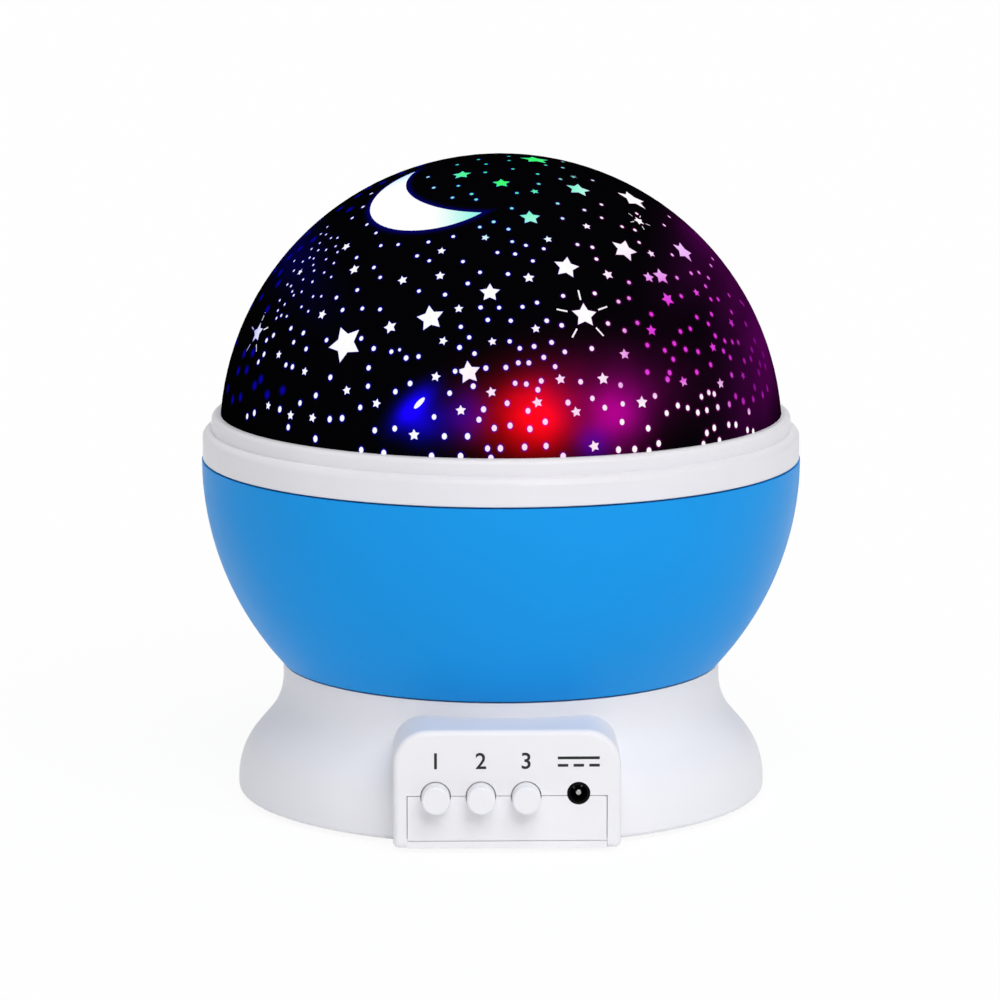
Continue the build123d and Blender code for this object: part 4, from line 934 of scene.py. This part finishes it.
class STARLIGHT_OT_shells(bpy.types.Operator):
    """Finish the white and blue mouldings"""

    bl_idname = "starlight.shells"
    bl_label = "Shells"

    def execute(self, context):
        shades = context.scene.star_light_colours
        white = moulded("white_moulding", shades.white_shell, 0.42)
        coat(white, "base_shell", "bottom_cover", "battery_door")
        coat(moulded("button_moulding", shades.white_shell, 0.36), *BUTTONS)
        coat(moulded("ring_moulding", shades.white_ring, 0.4), "dome_ring")
        coat(moulded("blue_moulding", shades.blue_shell, 0.42, 0.08), "bowl_shell")
        return {"FINISHED"}


class STARLIGHT_OT_workings(bpy.types.Operator):
    """Finish the deck, drive, fasteners and feet"""

    bl_idname = "starlight.workings"
    bl_label = "Workings"

    def execute(self, context):
        inner = moulded("inner_moulding", (0.78, 0.78, 0.78), 0.45)
        coat(inner, "spindle_deck", "reflector_plate", "led_holder")
        gears = moulded("gear_acetal", (0.82, 0.80, 0.72), 0.38)
        coat(gears, "ring_gear", "drive_pinion")
        steel = metal("zinc_steel", (0.62, 0.62, 0.60), 0.3)
        names = [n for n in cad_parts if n.endswith(("_screws", "_screw"))]
        coat(steel, *names, "retaining_clip", "motor_shaft")
        coat(metal("spring_steel", (0.70, 0.69, 0.66), 0.2), "battery_springs")
        coat(metal("contact_plate", (0.74, 0.72, 0.66), 0.24), "battery_contacts")
        coat(metal("motor_can", (0.52, 0.52, 0.50), 0.32, 300.0), "geared_motor")
        coat(soft("foot_rubber", (0.022, 0.022, 0.023), 0.75, 2600.0, 0.5), "rubber_feet")
        black = soft("black_moulding", (0.006, 0.006, 0.007), 0.5, 3200.0, 0.15)
        plungers = [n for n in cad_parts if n.endswith("_plunger")]
        coat(black, *plungers, "thrust_washer", "tactile_switches")
        socket = soft("inlet_black", (0.0015, 0.0015, 0.0015), 0.7, 3200.0, 0.1)
        coat(socket.set(Specular_IOR_Level=0.1), "dc_inlet")
        coat(metal("inlet_pin", (0.50, 0.50, 0.50), 0.3), "dc_inlet_pin")
        return {"FINISHED"}


class STARLIGHT_OT_electrics(bpy.types.Operator):
    """Finish the boards, leads, lamps and cells"""

    bl_idname = "starlight.electrics"
    bl_label = "Electrics"

    def execute(self, context):
        coat(circuit_board("control_resist", 260.0), "control_board")
        coat(circuit_board("lamp_resist", 200.0), "led_board")
        coat(soft("lead_sheath", (0.30, 0.012, 0.010), 0.4, 1800.0, 0.1), "lamp_leads")
        coat(lamp("led_red", (1.0, 0.03, 0.02), 2.2), "led_red")
        coat(lamp("led_green", (0.05, 0.95, 0.12), 2.0), "led_green")
        coat(lamp("led_blue", (0.05, 0.10, 1.0), 2.4), "led_blue")
        coat(lamp("led_warm", (1.0, 0.80, 0.50), 2.0), "led_warm")
        for name in (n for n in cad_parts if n[:8] == "battery_" and n[8:].isdigit()):
            coat(cell_sleeve(name), name)
        return {"FINISHED"}


class STARLIGHT_OT_dome(bpy.types.Operator):
    """Finish the black mask and the milky dome behind it"""

    bl_idname = "starlight.dome"
    bl_label = "Dome"

    def execute(self, context):
        coat(black_mask("mask_coat"), "star_mask")
        coat(milky_dome("milky_dome"), "star_dome")
        return {"FINISHED"}


class STARLIGHT_OT_dots(bpy.types.Operator):
    """Print the round windows on the dome"""

    bl_idname = "starlight.dots"
    bl_label = "Round windows"

    def execute(self, context):
        sizes = context.scene.star_light_sizes
        chance = random.Random(SIZE_SEED)
        bm, lit = new_windows()
        for out in dot_places():
            add_dot(bm, lit, out, sizes.dot_radius, chance)
        for dot in FINE_DOTS:
            add_dot(bm, lit, seen_at(LEFT_CUT_OUT, *dot), sizes.fine_radius, chance)
        for dot in DIM_DOTS:
            place = seat(seen_at(LEFT_CUT_OUT, *dot))
            add_window(
                bm, lit, place, sizes.dim_radius, DOT_CORNERS, blur=DIM_BLUR, level=DIM_LEVEL
            )
        add_windows("round_windows", bm, lit_windows("round_light"))
        return {"FINISHED"}


class STARLIGHT_OT_small_stars(bpy.types.Operator):
    """Print the small stars on the dome"""

    bl_idname = "starlight.small_stars"
    bl_label = "Small stars"

    def execute(self, context):
        chance = random.Random(TURN_SEED)
        bm, lit = new_windows()
        for out, size in star_places():
            add_star(bm, lit, out, size, chance.uniform(-STAR_TURN, STAR_TURN))
        add_windows("small_stars", bm, lit_windows("star_light"))
        return {"FINISHED"}


class STARLIGHT_OT_panes(bpy.types.Operator):
    """Close the stars that are cut through the mask with clear panes"""

    bl_idname = "starlight.panes"
    bl_label = "Star panes"

    def execute(self, context):
        bm, lit = new_windows()
        for out, size, lean in cut_places():
            add_star(bm, lit, out, size, lean)
        add_windows("star_panes", bm, lit_windows("pane_light"))
        return {"FINISHED"}


class STARLIGHT_OT_moon(bpy.types.Operator):
    """Close the moon that is cut through the mask with a clear pane"""

    bl_idname = "starlight.moon"
    bl_label = "Moon pane"

    def execute(self, context):
        bm, lit = new_windows()
        gap = BITE_SHIFT
        to_horn = acos((MOON_R**2 - BITE_R**2 + gap**2) / (2 * gap * MOON_R))
        bite_half = acos((BITE_R**2 - MOON_R**2 + gap**2) / (2 * gap * BITE_R))
        horn_angle = BITE_ANGLE + to_horn
        horn = Vector((cos(horn_angle), sin(horn_angle), 0)) * MOON_R
        arcs = ((Vector(), 2 * pi - 2 * to_horn), (bite_middle(), 2 * bite_half))
        for middle, sweep in arcs:
            start = bm.verts.new(horn)
            bmesh.ops.spin(
                bm, geom=[start], cent=middle, axis=(0, 0, 1), angle=sweep, steps=MOON_STEPS
            )
        edges = set(bm.edges)
        bmesh.ops.bridge_loops(bm, edges=list(edges))
        rungs = [edge for edge in bm.edges if edge not in edges]
        bmesh.ops.subdivide_edges(bm, edges=rungs, cuts=MOON_CUTS)
        bmesh.ops.remove_doubles(bm, verts=bm.verts, dist=0.002 * MM)
        for corner in bm.verts:
            corner[lit] = 1.0
        lay_on_dome(bm, bm.verts[:], seat(outward(MOON_TURN, MOON_TILT)))
        add_windows("moon_pane", bm, lit_windows("moon_light", moon_light))
        return {"FINISHED"}


class STARLIGHT_OT_rays(bpy.types.Operator):
    """Print the lines that surround the rayed stars"""

    bl_idname = "starlight.rays"
    bl_label = "Star rays"

    def execute(self, context):
        bm, lit = new_windows()
        for cut_out, column, row, size, lean in RAYED_STARS:
            out = seen_at(cut_out, column, row)
            for index in range(STAR_POINTS):
                shift = Matrix.Translation((0, RAY_REACH * size * MM, 0))
                half = (RAY_WIDTH * size * MM / 2, RAY_LENGTH * size * MM / 2)
                stretch = Matrix.Diagonal((*half, 1, 1))
                turned = Matrix.Rotation(index * 2 * pi / STAR_POINTS, 4, "Z") @ shift @ stretch
                bar = bmesh.ops.create_grid(
                    bm, x_segments=1, y_segments=1, size=1.0, matrix=turned
                )["verts"]
                for corner in bar:
                    corner[lit] = 1.0
                lay_on_dome(bm, bar, seat(out, lean))
        add_windows("star_rays", bm, lit_windows("ray_light"))
        return {"FINISHED"}


class STARLIGHT_OT_glint(bpy.types.Operator):
    """Paint the blue lamp's slanted glint on the dome: a painted highlight, laid on as a lit
    window
    """

    bl_idname = "starlight.glint"
    bl_label = "Lamp glint"

    def execute(self, context):
        bm, lit = new_windows()
        place = seat(seen_at(LEFT_CUT_OUT, *GLINT), GLINT_LEAN)
        add_window(bm, lit, place, GLINT_RADIUS, GLINT_CORNERS, stretch=GLINT_STRETCH)
        add_windows("lamp_glint", bm, lit_windows("glint_light"))
        return {"FINISHED"}


def mark_mesh(body, height, weight):
    """Mesh of a text, its middle at the origin, standing in the XZ plane."""
    curve = bpy.data.curves.new("mark", "FONT")
    curve.body = body
    curve.align_x = "CENTER"
    curve.align_y = "CENTER"
    curve.size = height / FIGURE_SHARE
    curve.offset = weight
    curve.resolution_u = 6
    text = new_object("mark", curve)
    bpy.context.view_layer.update()
    mesh = bpy.data.meshes.new_from_object(text)
    bpy.data.objects.remove(text)
    return mesh


class STARLIGHT_OT_marks(bpy.types.Operator):
    """Print the numbers over the buttons and the direct-current sign over the inlet"""

    bl_idname = "starlight.marks"
    bl_label = "Panel marks"

    def execute(self, context):
        sizes = context.scene.star_light_sizes
        shades = context.scene.star_light_colours
        ink = soft("panel_ink", tuple(shades.ink), 0.5, 2500.0, 0.1)
        level = PANEL_FRONT - PRINT
        stand = Matrix.Rotation(pi / 2, 4, "X")
        for number, button in enumerate(BUTTONS, 1):
            low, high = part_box(button)
            place = Matrix.Translation(((low.x + high.x) / 2, level, sizes.mark_level))
            bm = bmesh.new()
            bm.from_mesh(mark_mesh(str(number), sizes.mark_height, sizes.mark_weight))
            bmesh.ops.transform(bm, matrix=place @ stand, verts=bm.verts)
            add_piece(f"mark_{number}", bm, ink, "base")
        low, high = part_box("dc_inlet_pin")
        middle = Matrix.Translation(((low.x + high.x) / 2, level, sizes.mark_level)) @ stand
        bm = bmesh.new()
        dashes = [(x, -SIGN_RISE, SIGN_DASH) for x in (-SIGN_PITCH, 0.0, SIGN_PITCH)]
        for x, z, wide in [(0.0, SIGN_RISE, SIGN_LINE), *dashes]:
            shape = Matrix.Diagonal((wide * MM / 2, SIGN_WEIGHT * MM / 2, 1, 1))
            place = middle @ Matrix.Translation((x * MM, z * MM, 0)) @ shape
            bmesh.ops.create_grid(bm, x_segments=1, y_segments=1, size=1.0, matrix=place)
        add_piece("direct_current_mark", bm, ink, "base")
        return {"FINISHED"}


class STARLIGHT_OT_stage(bpy.types.Operator):
    """Lay the floor and set the camera, the lamps and the world"""

    bl_idname = "starlight.stage"
    bl_label = "Stage"

    def execute(self, context):
        self.lay_floor()
        self.set_camera(context)
        self.set_lamps()
        self.set_world(context)
        context.scene.view_settings.view_transform = "Standard"
        return {"FINISHED"}

    def lay_floor(self):
        bm = bmesh.new()
        bmesh.ops.create_grid(bm, x_segments=1, y_segments=1, size=FLOOR_SIDE / 2)
        floor = new_object("floor", new_mesh("floor", bm))
        finish = Finish("floor_paper")
        finish.set(Base_Color=(1.0, 1.0, 1.0), Roughness=0.9, Specular_IOR_Level=0.0)
        nodes = finish.tree.nodes
        white = finish.node("ShaderNodeEmission", inputs={0: (1.0, 1.0, 1.0), 1: 1.0})
        blend = nodes.new("ShaderNodeMixShader")
        finish.feed(blend.inputs[0], seen_directly(finish.node) * FLOOR_GLOW)
        finish.tree.links.new(finish.surface.outputs[0], blend.inputs[1])
        finish.tree.links.new(white.socket, blend.inputs[2])
        finish.tree.links.new(blend.outputs[0], nodes["Material Output"].inputs[0])
        floor.data.materials.append(finish.material)

    def set_camera(self, context):
        camera = bpy.data.cameras.new("camera")
        camera.sensor_width = CAMERA_SENSOR
        camera.lens = CAMERA_LENS
        camera.shift_x = CAMERA_SHIFT
        holder = new_object("camera", camera)
        holder.location = CAMERA_PLACE
        holder.rotation_euler = camera_axes()[2].to_track_quat("-Z", "Y").to_euler()
        context.scene.camera = holder

    def set_lamps(self):
        for name, strength, spread, aim in SUNS:
            sun = bpy.data.lights.new(name, "SUN")
            sun.energy = strength
            sun.angle = radians(spread)
            holder = new_object(name, sun)
            holder.rotation_euler = Vector(aim).to_track_quat("-Z", "Y").to_euler()

    def set_world(self, context):
        world = bpy.data.worlds.new("studio")
        context.scene.world = world
        world.use_nodes = True
        background = world.node_tree.nodes["Background"]
        path = world.node_tree.nodes.new("ShaderNodeLightPath")
        reach = world.node_tree.nodes.new("ShaderNodeMapRange")
        world.node_tree.links.new(path.outputs["Is Camera Ray"], reach.inputs["Value"])
        reach.inputs["To Min"].default_value = WORLD_STRENGTH
        reach.inputs["To Max"].default_value = 1.0
        world.node_tree.links.new(reach.outputs[0], background.inputs["Strength"])
        background.inputs["Color"].default_value = (1.0, 1.0, 1.0, 1.0)


def seen_directly(node):
    """1 for rays from the camera and those that gloss or glass passes on, else 0."""
    camera = node("ShaderNodeLightPath", output="Is Camera Ray")
    glossy = node("ShaderNodeLightPath", output="Is Glossy Ray")
    through = node("ShaderNodeLightPath", output="Is Transmission Ray")
    return camera.most(glossy).most(through)


MAKERS = (
    STARLIGHT_OT_stage,
    STARLIGHT_OT_shells,
    STARLIGHT_OT_workings,
    STARLIGHT_OT_electrics,
    STARLIGHT_OT_dome,
    STARLIGHT_OT_dots,
    STARLIGHT_OT_small_stars,
    STARLIGHT_OT_panes,
    STARLIGHT_OT_moon,
    STARLIGHT_OT_rays,
    STARLIGHT_OT_glint,
    STARLIGHT_OT_marks,
)


class STARLIGHT_PT_panel(bpy.types.Panel):
    """Makers of the star night light."""

    bl_idname = "STARLIGHT_PT_panel"
    bl_label = "Star Night Light"
    bl_space_type = "VIEW_3D"
    bl_region_type = "UI"
    bl_category = "Star Light"

    def draw(self, context):
        for maker in MAKERS:
            self.layout.operator(maker.bl_idname)
        for group in (context.scene.star_light_sizes, context.scene.star_light_colours):
            box = self.layout.box()
            for name in group.bl_rna.properties.keys():
                if name not in ("rna_type", "name"):
                    box.prop(group, name)


CLASSES = (STARLIGHT_PG_sizes, STARLIGHT_PG_colours, *MAKERS, STARLIGHT_PT_panel)


def register():
    for item in CLASSES:
        bpy.utils.register_class(item)
    bpy.types.Scene.star_light_sizes = bpy.props.PointerProperty(type=STARLIGHT_PG_sizes)
    bpy.types.Scene.star_light_colours = bpy.props.PointerProperty(type=STARLIGHT_PG_colours)


def unregister():
    del bpy.types.Scene.star_light_colours
    del bpy.types.Scene.star_light_sizes
    for item in reversed(CLASSES):
        bpy.utils.unregister_class(item)


def main():
    register()
    for maker in MAKERS:
        group, name = maker.bl_idname.split(".")
        getattr(getattr(bpy.ops, group), name)()


if __name__ == "__main__":
    main()
